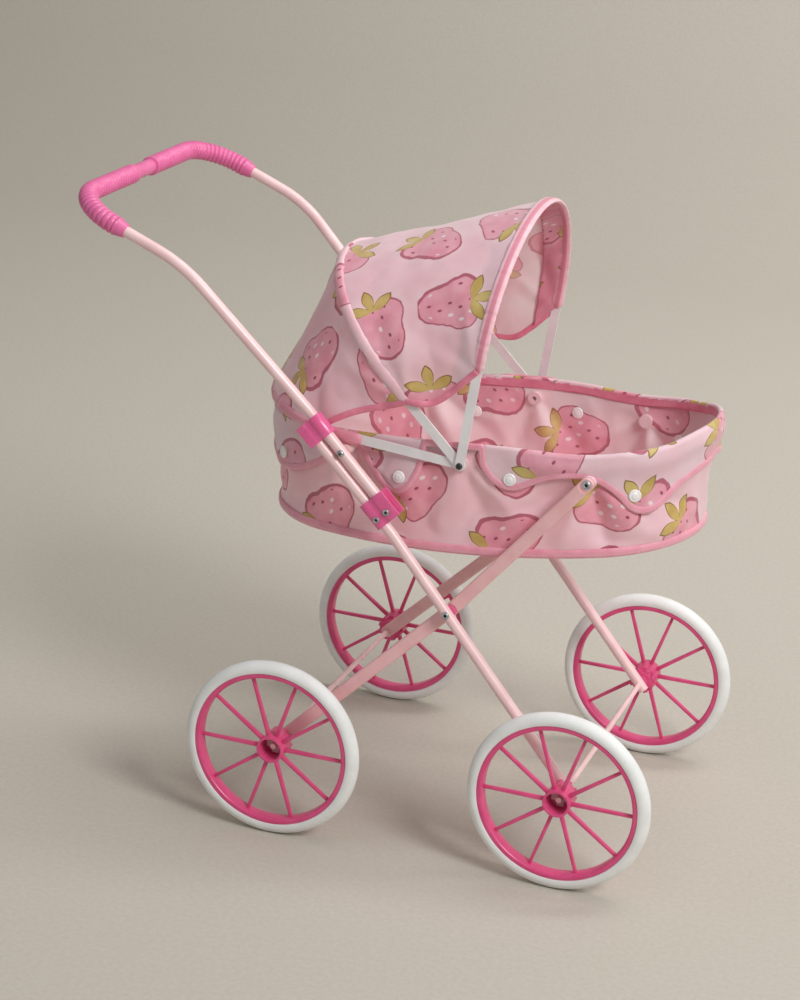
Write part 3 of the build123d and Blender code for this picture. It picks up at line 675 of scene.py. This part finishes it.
def grip_radius(travelled):
    """Tapered end cuffs, close round rings, and a slimmer smooth middle between two smooth collars."""
    from_end = min(travelled, grip_length - travelled)
    from_middle = abs(travelled - grip_length / 2)
    if from_end < CUFF_LENGTH:
        return (5.9 + 0.24 * from_end / MM) * MM
    if from_middle < 18 * MM:
        return GRIP_RADIUS - 1.7 * MM
    if from_middle < 23 * MM:
        return GRIP_RADIUS + 0.1 * MM
    ridge = abs(cos(pi * (from_end - CUFF_LENGTH) / RING_PITCH))
    return GRIP_RADIUS - 1.3 * MM + 1.4 * MM * ridge**0.55


bm = bmesh.new()
hose(bm, rings_along(grip_line, grip_radius), segments=28)
carry("corrugated_grip", bm, GRIP_PLASTIC, "pink_plastic", "handle", ["handle_grip"], sharp=50)


# Rivets and screws

def eyelet(bm, spot, outward, radius, hole, height):
    """Tubular rivet head: a rolled ring round a hole, whose depth is a dark disc of painted shade, standing on a face
    across Y.
    """
    ring = bmesh.new()
    rolled = [(hole, -1.0), (hole, height * 0.6), ((hole + radius) / 2, height), (radius * 0.93, height * 0.55),
              (radius, 0.0)]
    lathe(ring, rolled, rounding=0.15, steps=32)
    # Painted shade: a flat dark disc a little below the ring's top stands for the shade inside the hole
    lathe(ring, [(0.0, -0.4), (hole, -0.4)], steps=32, material=1)
    bmesh.ops.transform(ring, matrix=facing(spot, outward), verts=ring.verts)
    join(bm, ring)


def eyelets(name, spot, faces, radius, hole, height, body, node):
    """Heads on both sides of the pram at the given |Y| faces: positive faces look out, negative look in."""
    bm = bmesh.new()
    for sign in (-1, 1):
        for face in faces:
            outward = sign if face > 0 else -sign
            eyelet(bm, Vector((spot.x, sign * abs(face) * MM, spot.z)), outward, radius, hole, height)
    carry(name, bm, [ZINC, HOLE_AND_SLOT_SHADE], "zinc", body, [node])


def screw_heads(name, spot, face, radius, material, body, node):
    """Pan heads with a cross slot, whose recess is drawn as dark bars of painted shade, one on each outer side of the
    pram.
    """
    bm = bmesh.new()
    for sign in (-1, 1):
        head = bmesh.new()
        dome = [(radius, -0.6), (radius, 0.5), (radius * 0.8, 1.35), (radius * 0.4, 1.75), (0, 1.85)]
        lathe(head, dome, rounding=0.2, steps=32)
        for turn in (0, pi / 2):
            slot = bmesh.ops.create_cube(head, size=1)["verts"]
            bmesh.ops.scale(head, vec=Vector((radius * 1.1, 0.5, 0.75)) * MM, verts=slot)
            bmesh.ops.translate(head, vec=Vector((0, 1.68, 0)) * MM, verts=slot)
            bmesh.ops.rotate(head, cent=(0, 0, 0), matrix=Matrix.Rotation(turn + 0.4, 3, "Y"), verts=slot)
            # Painted shade: the slot bars take the dark second finish
            for bar in {f for v in slot for f in v.link_faces}:
                bar.material_index = 1
        there = facing((spot.x, sign * face * MM, spot.z), sign)
        bmesh.ops.transform(head, matrix=there, verts=head.verts)
        join(bm, head)
    carry(name, bm, [material, HOLE_AND_SLOT_SHADE], "zinc", body, [node])


CLAMP_FACES = (128.15, -113.85)
clamp_spot = HANDLE_PIVOT - Vector((sin(radians(STUB_ANGLE)), 0, cos(radians(STUB_ANGLE)))) * 11.5 * MM
eyelets("clamp_eyelets", clamp_spot, CLAMP_FACES, 3.1, 1.2, 1.1, "chassis", "clamp_rivets")
eyelets("fold_eyelets", HANDLE_PIVOT, CLAMP_FACES, 3.1, 1.2, 1.1, "chassis", "handle_pivot_rivets")
eyelets("crossing_eyelets", CROSSING, (125.75, -109.2), 3.5, 1.4, 1.3, "chassis", "cross_pivot_rivets")
leg_rivet_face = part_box("leg_top_rivets")[1].y / MM - 1.6
eyelets("leg_top_eyelets", LEG_RIVET, (leg_rivet_face,), 4.0, 1.6, 1.4, "rear_frame", "leg_top_rivets")
screw_heads("hood_pivot_screws", HOOD_PIVOT, 113.9, 2.9, DARK_METAL, "basket", "hood_pivot_rivets")
screw_heads("basket_screw_heads", BASKET_SCREW, 125.75, 3.2, ZINC, "handle", "basket_screws")


# Basket surfaces

def oval_spot(share, half_length, half_width):
    """Point and outward direction at a share of the way round a long oval, from its front by its left side."""
    end = half_width * END_ROUNDNESS
    centre = half_length - end
    narrow = half_width - end
    drop = (centre**2 - narrow**2) / (2 * narrow)
    long = half_width + drop
    meet = atan2(drop, centre)
    end_run = end * meet
    side_run = long * (pi / 2 - meet)
    quarter = share % 1 * 4
    index = int(quarter) % 4
    part = quarter - int(quarter)
    sign = ((1, 1), (-1, 1), (-1, -1), (1, -1))[index]
    run = (part if index in (0, 2) else 1 - part) * (end_run + side_run)
    if run < end_run:
        angle = run / end
        spot = Vector((centre + end * cos(angle), end * sin(angle), 0))
    else:
        angle = meet + (run - end_run) / long
        spot = Vector((long * cos(angle), long * sin(angle) - drop, 0))
    face = Vector((cos(angle), sin(angle), 0))
    flip = Vector((sign[0], sign[1], 1))
    return spot * flip, face * flip


def tilted(spot, middle, rise):
    return middle + Vector((spot.x * cos(rise) - spot.z * sin(rise), spot.y, spot.x * sin(rise) + spot.z * cos(rise)))


def oval_length(half_length, half_width):
    spots = [oval_spot(i / 400, half_length, half_width)[0] for i in range(401)]
    return sum((b - a).length for a, b in zip(spots, spots[1:]))


RIM_ROUND = oval_length(RIM_LENGTH, RIM_WIDTH)


def foot_lift(spot):
    """The foot edge hangs lowest at the middle and turns up at both ends."""
    return (-2.5 + 8.5 * (spot.x / BASE_LENGTH) ** 2) * MM


def rim_lift(spot):
    """The soft rim dips beside the leg rivets and stands up at the front end."""
    ahead = spot.x / MM
    return (9.0 * exp(-(((ahead - 200) / 24) ** 2)) - 5.0 * exp(-(((ahead - 104) / 44) ** 2))) * MM


def wall_spot(share, height, out=0.0):
    """Point of the basket's wall: height 0 at the foot, 1 at the rim, pushed out by a distance."""
    low, low_face = oval_spot(share, BASE_LENGTH, BASE_WIDTH)
    high, high_face = oval_spot(share, RIM_LENGTH, RIM_WIDTH)
    low.z = foot_lift(low)
    high.z = rim_lift(high)
    spot = tilted(low, BASE_MIDDLE, BASE_RISE).lerp(tilted(high, RIM_MIDDLE, RIM_RISE), height)
    face = low_face.lerp(high_face, height).normalized()
    return spot + face * out, face


def wall_height(share):
    return (wall_spot(share, 1)[0] - wall_spot(share, 0)[0]).length


# Creases that the fixing points pull in the wall: from a pin to a point given from it, with width and height
CREASES = [
    (LEG_RIVET, (104, -34), 10, -4.4), (LEG_RIVET, (66, -64), 15, 5.0), (LEG_RIVET, (22, -72), 11, -6.0),
    (LEG_RIVET, (-26, -68), 12, 4.0), (LEG_RIVET, (-64, -40), 10, -3.6), (BASKET_SCREW, (36, -62), 13, -5.0),
    (BASKET_SCREW, (-30, -62), 11, 4.2), (BASKET_SCREW, (78, -50), 11, 3.6), (BASKET_SCREW, (4, -70), 8, 3.4),
    (HOOD_PIVOT, (32, -68), 13, -4.0), (HOOD_PIVOT, (-24, -70), 12, 3.6), (HOOD_PIVOT, (62, -50), 10, 3.0),
]


def crease(spot, pin, reach, wide, high):
    """Height of one crease at a point of the wall, strongest near its pin."""
    px, pz = (spot.x - pin.x) / MM, (spot.z - pin.z) / MM
    length = hypot(*reach)
    along = (px * reach[0] + pz * reach[1]) / length
    aside = (px * reach[1] - pz * reach[0]) / length
    if along < 0 or along > length:
        return 0.0
    share = along / length
    ridge = exp(-((abs(aside) / (wide * (0.4 + 0.7 * share))) ** 1.4))
    return high * ridge * sin(pi * min(1, share + 0.06)) ** 0.6


def crumple(spot, scale):
    """Soft facets that meet in sharper folds, from 0 to about 1; scale is folds in about a metre."""
    bent = spot * scale + noise.noise_vector(spot * scale * 0.5) * 0.5
    return abs(noise.noise(bent + Vector((3, 7, 1))))


def slack(share, height):
    """How far the cloth stands in or out of the straight wall."""
    spot, face = wall_spot(share, height)
    middle = sin(pi * min(max(height, 0), 1))
    drift = noise.noise(Vector((spot.x * 11, spot.y * 11, spot.z * 8))) * 2.0
    upright = noise.noise(Vector((spot.x * 34 + 4, spot.y * 34, spot.z * 9))) * 0.9
    pull = sum(crease(spot, *fold) for fold in CREASES) if abs(face.y) > 0.35 else 0.0
    folds = 5.0 * crumple(spot, 19) + 1.9 * crumple(spot, 44)
    fold = min(max(1.1 * pull + folds - 1.4, -6.0), 4.0)
    return ((drift + upright - 1.6) * middle + fold * min(1, 2.2 * middle)) * MM


# The inner side takes the basket's inside cloth, painted paler to brighten its shade
wall = cloth_sheet(
    "basket_wall", 300, 36,
    lambda u, v: wall_spot(u, v, -0.4 * MM + slack(u, v))[0],
    lambda u, v: (u * 12 * PRINT_PITCH, v * wall_height(u) + 0.292),
    [BERRY_CLOTH, BASKET_INSIDE_PAINTED_LIGHT], "print_fabric", 0.8 * MM, reverse=1,
)
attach(wall, "basket")
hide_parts("basket_fabric")


# Cloth floor that joins the foot edge under the board

def floor_spot(share, out):
    """Point of the floor from its middle, out 0, to the foot edge, out 1."""
    edge = oval_spot(share, BASE_LENGTH - 0.4 * MM, BASE_WIDTH - 0.4 * MM)[0]
    spot = edge * out
    rim = min(max((out - 0.93) / 0.07, 0), 1)
    spot.z = min(foot_lift(spot), 0.9 * MM) * (1 - rim * rim) + foot_lift(edge) * rim * rim
    return tilted(spot, BASE_MIDDLE, BASE_RISE)


def floor_lay(share, out):
    spot = oval_spot(share, BASE_LENGTH, BASE_WIDTH)[0] * out
    return spot.x + 0.6, spot.y + 0.6


floor_cloth = cloth_sheet("basket_floor", 160, 14, floor_spot, floor_lay, BERRY_CLOTH, "print_fabric", 0.8 * MM)
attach(floor_cloth, "basket")


# Base board, covered in the same cloth

BOARD_INSET, BOARD_THICKNESS = 5.6 * MM, 4.4 * MM
bm = bmesh.new()
flat = bm.loops.layers.uv.new("cloth")
made = bmesh.ops.create_circle(bm, cap_ends=True, segments=160, radius=1)["verts"]
for spot in made:
    share = atan2(spot.co.y, spot.co.x) / (2 * pi)
    spot.co = oval_spot(share, BASE_LENGTH - BOARD_INSET, BASE_WIDTH - BOARD_INSET)[0]
top = bmesh.ops.extrude_face_region(bm, geom=bm.faces[:])["geom"]
bmesh.ops.translate(bm, vec=(0, 0, BOARD_THICKNESS), verts=points_of(top))
upper = [f for f in top if isinstance(f, bmesh.types.BMFace)]
bmesh.ops.bevel(bm, geom=[e for f in upper for e in f.edges], offset=1.4 * MM, affect="EDGES", segments=3,
                profile=0.5, material=-1)
for face in bm.faces:
    for corner in face.loops:
        corner[flat].uv = (corner.vert.co.x + 0.6, corner.vert.co.y + 0.6)
for spot in bm.verts:
    spot.co = tilted(spot.co + Vector((0, 0, 1.0 * MM)), BASE_MIDDLE, BASE_RISE)
carry("covered_base_board", bm, BERRY_CLOTH, "print_fabric", "basket", ["basket_base_board"])


# Fold-over collar: round lobes with snaps, arched over the screws, the hood pivots and the leg rivets

def rim_share(station):
    """Share of the way round the rim at a distance ahead of its middle, on the left side."""
    low, high = 0.0, 0.5
    for _ in range(40):
        middle = (low + high) / 2
        if oval_spot(middle, RIM_LENGTH, RIM_WIDTH)[0].x > station * MM:
            low = middle
        else:
            high = middle
    return low


# How far the collar hangs below the rim, at distances ahead of the rim's middle, in millimetres
COLLAR_STEPS = [
    (197, 30), (180, 40), (163, 53), (150, 50), (140, 38), (128, 27), (114, 19), (99, 17), (82, 20), (68, 27),
    (50, 35), (34, 29), (25, 17), (24, 14), (23, 3), (-28, 3), (-29, 12), (-33, 28), (-42, 43), (-52, 48),
    (-64, 43), (-75, 30), (-86, 15), (-95, 10), (-106, 15), (-122, 28), (-140, 39), (-167, 46), (-185, 40),
    (-197, 34),
]
collar_steps = [(0.0 if s > 196 else 0.5 if s < -196 else rim_share(s), d * MM) for s, d in COLLAR_STEPS]


def collar_depth(share):
    """How far the collar hangs below the rim, the same on both sides."""
    share = share % 1
    return max(smooth_between(collar_steps, min(share, 1 - share)), 2.6 * MM)


COLLAR_HEM = 8 * MM
COLLAR_FOLD = 5 * MM
COLLAR_LAY_TOP = 0.9


def collar_spot(share, travelled):
    """Point of the collar, travelled from its inner hem, over the rim and down the outside."""
    high = wall_height(share)
    if travelled < COLLAR_HEM:
        return wall_spot(share, 1 - (COLLAR_HEM - travelled) / high, -2.1 * MM)
    over = (travelled - COLLAR_HEM) / COLLAR_FOLD
    if over < 1:
        spot, face = wall_spot(share, 1)
        angle = pi * over
        return spot + face * (-0.35 - 1.75 * cos(angle)) * MM + UP * 1.5 * sin(angle) * MM, face
    down = travelled - COLLAR_HEM - COLLAR_FOLD
    height = 1 - down / high
    drop = down / (46 * MM)
    spot = wall_spot(share, height)[0]
    wave = noise.noise(Vector((spot.x * 22, spot.y * 22, 3))) * 1.1
    wave += 2.4 * crumple(spot + UP * 0.5, 27) - 0.5
    free = min(max((spot.x - HOOD_PIVOT.x - 30 * MM) / (25 * MM), 0), 1)
    roll = (2.6 + 1.4 * noise.noise(spot * 17)) * exp(-(((down / MM - 10) / 8.5) ** 2)) * free
    out = 1.5 + 2.0 * drop * drop + roll + wave * min(1, 2.5 * drop)
    return wall_spot(share, height, max(out * MM, slack(share, height) + 1.4 * MM))


def collar_length(share):
    return COLLAR_HEM + COLLAR_FOLD + collar_depth(share)


def collar_place(u, v):
    return collar_spot(u, v * collar_length(u))[0]


def collar_lay(u, v):
    return u * RIM_ROUND + 0.043, COLLAR_LAY_TOP - v * collar_length(u)


collar = cloth_sheet(
    "fold_over_collar", 560, 28, collar_place, collar_lay, [BERRY_CLOTH, DEEP_AND_SHADED_HEM_CLOTH], "print_fabric", 0.7 * MM,
)
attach(collar, "basket")
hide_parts("basket_collar", "basket_rim_band")
flat = collar.data.uv_layers["cloth"].uv
# The collar's inner hem takes the deep hem cloth, partly painted shade
hem_row = {i for i, corner in enumerate(flat) if corner.vector.y > COLLAR_LAY_TOP - COLLAR_HEM}
for face in collar.data.polygons:
    if hem_row.issuperset(face.loop_indices):
        face.material_index = 1

EDGE_STEPS = 640
edge_shares = []
for i in range(EDGE_STEPS):
    jump = abs(collar_depth((i + 1) / EDGE_STEPS) - collar_depth(i / EDGE_STEPS))
    parts = 1 + int(jump / (1.6 * MM))
    edge_shares.extend((i + k / parts) / EDGE_STEPS for k in range(parts))
edge = [collar_spot(t, collar_length(t) - 2.0 * MM) for t in edge_shares]
edge_spots = [spot for spot, _ in edge]
for _ in range(3):
    edge_spots = [(edge_spots[i - 1] + here * 2 + edge_spots[(i + 1) % len(edge)]) / 4
                  for i, here in enumerate(edge_spots)]
edge = list(zip(edge_spots, [face for _, face in edge]))
collar_binding = binding("collar_binding", [edge], 3.2, 1.15, BINDING_CLOTH, closed=True)
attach(collar_binding, "basket")

foot = [wall_spot(i / 400, 2.4 * MM / wall_height(i / 400), 0.5 * MM) for i in range(400)]
foot_binding = binding("foot_binding", [foot], 4.0, 1.8, BINDING_CLOTH, closed=True)
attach(foot_binding, "basket")
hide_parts("basket_binding")


# Snap buttons on the lobes, with their backs inside the wall

def snap_button(bm, spot, face, radius, height):
    """Round cap with a ring pressed into it, facing out of the cloth; sizes in millimetres."""
    cap = bmesh.new()
    dome = [(radius, -0.4), (radius, height * 0.35), (radius * 0.82, height * 0.7), (radius * 0.62, height * 0.62),
            (radius * 0.4, height), (0, height)]
    lathe(cap, dome, rounding=0.25, steps=40)
    turn = face.to_track_quat("Y", "Z").to_matrix().to_4x4()
    bmesh.ops.transform(cap, matrix=Matrix.Translation(spot) @ turn, verts=cap.verts)
    join(bm, cap)


bm = bmesh.new()
for station, drop in ((-167, 32), (-49, 33), (48, 26), (150, 37)):
    for share in (rim_share(station), 1 - rim_share(station)):
        spot, face = collar_spot(share, COLLAR_HEM + COLLAR_FOLD + drop * MM)
        snap_button(bm, spot + face * 0.6 * MM, face, 5.5, 2.2)
        spot, face = wall_spot(share, 1 - drop * MM / wall_height(share))
        snap_button(bm, spot - face * 2.6 * MM, -face, 5.2, 1.4)
carry("snap_buttons", bm, SNAP_PLASTIC, "snap_plastic", "basket", ["collar_snaps"])


# Hood

def bow_frame(angle):
    """Directions of a bow's plane: away from the pivot, and forward across the strip."""
    a = radians(angle)
    return Vector((cos(a), 0, sin(a))), Vector((sin(a), 0, -cos(a)))


def arch_run(height, radius):
    """Run along a bow's outline, from its pivot, at which it stands this far from the pivot."""
    if height <= BOW_LEG:
        return height
    return BOW_LEG + radius * asin((height - BOW_LEG) / radius)


def arch_spot(angle, run, radius):
    """Point of a bow's outline at a run from its right pivot over the top, and the direction out of the arch."""
    along, _ = bow_frame(angle)
    total = 2 * BOW_LEG + pi * radius
    if run < BOW_LEG:
        y, h, turn = -radius, run, 0.0
    elif run > total - BOW_LEG:
        y, h, turn = radius, total - run, pi
    else:
        turn = (run - BOW_LEG) / radius
        y, h = -radius * cos(turn), BOW_LEG + radius * sin(turn)
    outward = Vector((0, -cos(turn), 0)) + along * sin(turn)
    return HOOD_PIVOT + along * h + Vector((0, y, 0)), outward


HOOD_RADIUS = 114.6 * MM
HOOD_GIRTH = 2 * BOW_LEG + pi * HOOD_RADIUS

# How far from the pivot the hood's side edges run, at angles round it
SIDE_EDGE = [(83, 84), (100, 70), (118, 63), (135.5, 70), (150, 85), (165, 113), (175, 130)]


def hood_run(angle, across):
    """Run along the arch at a share of the way from the right side edge to the left one."""
    start = arch_run(smooth_between(SIDE_EDGE, angle) * MM, HOOD_RADIUS)
    return start + across * (HOOD_GIRTH - 2 * start)


def hood_chord(angle_from, angle_to, run):
    """Straight distance between two bows at a run along them."""
    spot = arch_spot(angle_from, run, HOOD_RADIUS)[0] - HOOD_PIVOT
    return 2 * hypot(spot.x, spot.z) * sin(abs(radians(angle_to - angle_from)) / 2)


# Pull folds of a hood panel: from which bow, along which direction up and across the panel, width and height
HOOD_FOLDS = [
    (0, (62, 40), 6, 1.8), (0, (96, 22), 7, -1.6), (0, (30, 52), 6, -1.5), (1, (80, -34), 7, 1.7),
    (1, (40, -50), 6, -1.6), (1, (112, -16), 7, -1.3),
]


def hood_pull(angle_from, angle_to, run, along):
    """Height of the folds that spread from the feet of the bows, the same on both sides."""
    chord = hood_chord(angle_from, angle_to, run) / MM
    near = min(run, HOOD_GIRTH - run)
    total = 0.0
    for end, reach, wide, high in HOOD_FOLDS:
        foot = smooth_between(SIDE_EDGE, angle_to if end else angle_from)
        up, over = near / MM - foot, (along - end) * chord
        length = hypot(*reach)
        ahead = (up * reach[0] + over * reach[1]) / length
        aside = (up * reach[1] - over * reach[0]) / length
        if 0 < ahead < length:
            share = ahead / length
            total += high * exp(-((aside / (wide * (0.4 + 0.9 * share))) ** 2)) * sin(pi * share) ** 0.7
    return total


def hood_spot(angle_from, angle_to, across, along, inset=0.0):
    """Point of a panel between two bows; across runs over the top, along runs from one bow to the next."""
    run = hood_run(angle_from + (angle_to - angle_from) * along, across)
    low = arch_spot(angle_from, run, HOOD_RADIUS)
    high = arch_spot(angle_to, run, HOOD_RADIUS)
    outward = (low[1] + high[1]).normalized()
    loose = sin(pi * along)
    near = run / HOOD_GIRTH
    ripple = noise.noise(Vector((near * 8, along * 2.4, angle_from))) * 2.4
    ripple += noise.noise(Vector((near * 22, along * 4, angle_from + 5))) * 0.9
    pucker = noise.noise(Vector((near * 60, along * 3, angle_from + 9))) * abs(cos(pi * along)) ** 3 * 0.8
    spot = low[0].lerp(high[0], along)
    folds = 3.6 * crumple(spot, 16) + 1.5 * crumple(spot, 40) + hood_pull(angle_from, angle_to, run, along)
    lift = (ripple - 3.6) * loose + folds * min(1, 2 * loose) + pucker * loose**0.3 - inset
    return spot + outward * lift * MM, outward


def fan(piece, angle_from, angle_to, bodies):
    """The piece turns evenly from one bow's body to the next as the hood folds."""
    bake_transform(piece, bodies[0], bodies[1], start=HOOD_PIVOT + bow_frame(angle_from)[0] * 0.1,
             end=HOOD_PIVOT + bow_frame(angle_to)[0] * 0.1)
    turned = piece.data.attributes["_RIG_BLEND"].data
    for i, spot in enumerate(piece.data.vertices):
        around = degrees(atan2(spot.co.z - HOOD_PIVOT.z, spot.co.x - HOOD_PIVOT.x)) % 360
        turned[i].value = min(max((around - angle_from) / (angle_to - angle_from), 0), 1)


def hood_panel(name, angle_from, angle_to, node, bodies, shift):
    """One cloth panel with a rolled hem along each side edge."""
    def lay(u, v):
        run = hood_run(angle_from + (angle_to - angle_from) * v, u)
        return run + shift, (v - 0.5) * hood_chord(angle_from, angle_to, run) + 0.5

    # The inner side takes the hood's inside cloth, painted paler for light through the cloth
    panel = cloth_sheet(
        name, 190, 44, lambda u, v: hood_spot(angle_from, angle_to, u, v)[0], lay, [BERRY_CLOTH, HOOD_INSIDE_PAINTED_LIGHT],
        "print_fabric", 0.7 * MM, reverse=1,
    )
    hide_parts(node)
    fan(panel, angle_from, angle_to, bodies)
    edges = [[hood_spot(angle_from, angle_to, side, i / 60) for i in range(61)] for side in (0, 1)]
    # The rolled hems take the deep hem cloth, partly painted shade
    hem = binding(name + "_hems", edges, 2.9, 1.3, DEEP_AND_SHADED_HEM_CLOTH)
    fan(hem, angle_from, angle_to, bodies)
    wide = HOOD_GIRTH - 2 * hood_run((angle_from + angle_to) / 2, 0)


def bow_sleeve(name, angle, foot, radius, half_thick, body, material):
    """Gathered cloth sleeve round one bow, from a distance up its right leg to the same on the left."""
    start = arch_run(foot, radius)
    length = 2 * BOW_LEG + pi * radius - 2 * start
    count = int(length / (1.3 * MM))
    spots, faces, sizes = [], [], []
    for i in range(count + 1):
        spot, outward = arch_spot(angle, start + length * i / count, radius)
        gather = noise.noise(Vector((i * 0.41, angle, 0))) + 0.8 * noise.noise(Vector((i * 0.09, angle, 4)))
        ends = min(1.0, 0.55 + min(i, count - i) * 0.12)
        spots.append(spot)
        faces.append(outward)
        sizes.append(((5.4 + 0.4 * gather) * ends * MM, (half_thick + 0.3 * gather) * ends * MM))
    bm = bmesh.new()
    tape(bm, spots, faces, sizes, segments=16)
    sleeve = show(name, bm, material, "print_fabric", 0.0)
    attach(sleeve, body)
    return sleeve


LINING_DEPTH = 22 * MM


def lining_spot(across, along):
    """Folded front hem inside the hood, behind the front bow."""
    run = hood_run(FRONT_BOW, across)
    back = min(0.5, LINING_DEPTH / hood_chord(MID_BOW, FRONT_BOW, run))
    spot, outward = hood_spot(MID_BOW, FRONT_BOW, across, 1 - back * (1 - along), 2.0)
    return spot + outward * noise.noise(Vector((across * 52, along * 1.2, 2))) * 1.0 * MM


def lining_lay(across, along):
    return across * 0.5 + 2.0, along * LINING_DEPTH + 0.41


# The base sleeve takes the deep print cloth, partly painted shade
base_sleeve = bow_sleeve("hood_base_sleeve", BASE_BOW, 88 * MM, 112.0 * MM, 3.4, "basket", DEEP_AND_SHADED_BERRY_CLOTH)
mid_sleeve = bow_sleeve("hood_mid_sleeve", MID_BOW, 66 * MM, 112.9 * MM, 3.0, "hood_mid", BERRY_CLOTH)
front_sleeve = bow_sleeve("hood_front_sleeve", FRONT_BOW, 83 * MM, 113.2 * MM, 2.1, "hood_front", EDGE_CLOTH)
# The folded lining takes the deep print cloth, partly painted shade of the doubled cloth
lining = cloth_sheet(
    "hood_front_lining", 240, 10, lining_spot, lining_lay, DEEP_AND_SHADED_BERRY_CLOTH, "print_fabric", 0.6 * MM,
)
fan(lining, MID_BOW, FRONT_BOW, ("hood_mid", "hood_front"))
HOOD_GIRTH - 2 * hood_run(FRONT_BOW, 0)
hood_panel("hood_rear_cloth", BASE_BOW, MID_BOW, "hood_rear_panel", ("basket", "hood_mid"), 0.2)
hood_panel("hood_front_cloth", MID_BOW, FRONT_BOW, "hood_front_panel", ("hood_mid", "hood_front"), 1.31)


# Camera at the photo's angle

AZIMUTH, ELEVATION, ROLL = radians(18.84), radians(19.7), radians(3.23)
back = Vector((sin(AZIMUTH) * cos(ELEVATION), -cos(AZIMUTH) * cos(ELEVATION), sin(ELEVATION)))
level = (-back).cross(UP).normalized()
above = level.cross(-back)
right = level * cos(ROLL) + above * sin(ROLL)
up = above * cos(ROLL) - level * sin(ROLL)
camera = bpy.data.objects.new("camera", bpy.data.cameras.new("camera"))
camera.data.sensor_width = 36
camera.data.lens = 89.97
camera.matrix_world = Matrix.Translation((0.667, -1.980, 1.015)) @ Matrix((right, up, back)).transposed().to_4x4()
scene.collection.objects.link(camera)
scene.camera = camera


# Floor that curves up behind the pram, and soft light

bm = bmesh.new()
spots = [Vector((0, y, z)) for y, z in ((-4, 0), (2.2, 0), (2.9, 0.25), (3.2, 0.9), (3.2, 4))]
line = [bm.verts.new(s) for s in spots]
for ends in zip(line, line[1:]):
    bm.edges.new(ends)
bmesh.ops.bevel(bm, geom=line[1:-1], offset=0.3, affect="VERTICES", segments=6, profile=0.5, material=-1)
wide = bmesh.ops.extrude_edge_only(bm, edges=bm.edges[:])["geom"]
bmesh.ops.translate(bm, vec=(10, 0, 0), verts=points_of(wide))
bmesh.ops.translate(bm, vec=(-5, 0, 0), verts=bm.verts)
backdrop_finish = Sums("pale backdrop")
backdrop_cloud = backdrop_finish.step(backdrop_finish.grain(220, 4), 0.2, 0.8)
backdrop_base = backdrop_finish.mix(backdrop_cloud, colour(193, 186, 174), colour(201, 194, 182))
backdrop_finish.finish({"Base Color": backdrop_base, "Roughness": 0.9})
mesh = bpy.data.meshes.new("floor")
bmesh.ops.recalc_face_normals(bm, faces=bm.faces)
bm.to_mesh(mesh)
bm.free()
mesh.materials.append(backdrop_finish.material)
for face in mesh.polygons:
    face.use_smooth = True
floor = bpy.data.objects.new("floor", mesh)
scene.collection.objects.link(floor)


for name, place, aim, size, power in (
    ("key", (1.8, -1.2, 1.9), (0, 0, 0.25), 0.9, 40),
    ("fill", (-2.2, -1.8, 1.6), (0, 0, 0.3), 2.2, 5),
    ("top", (0.7, 0.2, 2.7), (0, 0, 0.2), 1.6, 17),
    ("backdrop", (1.4, 0.9, 2.7), (0.0, 3.2, 1.9), 1.6, 66),
):
    light = bpy.data.lights.new(name, "AREA")
    light.shape = "DISK"
    light.size = size
    light.energy = power
    lamp = bpy.data.objects.new(name, light)
    lamp.location = place
    lamp.rotation_euler = (Vector(aim) - Vector(place)).to_track_quat("-Z", "Y").to_euler()
    scene.collection.objects.link(lamp)
world = bpy.data.worlds.new("studio")
world.use_nodes = True
sky = world.node_tree.nodes["Background"].inputs
sky["Color"].default_value = (0.98, 0.99, 1.0, 1)
sky["Strength"].default_value = 0.26
scene.world = world
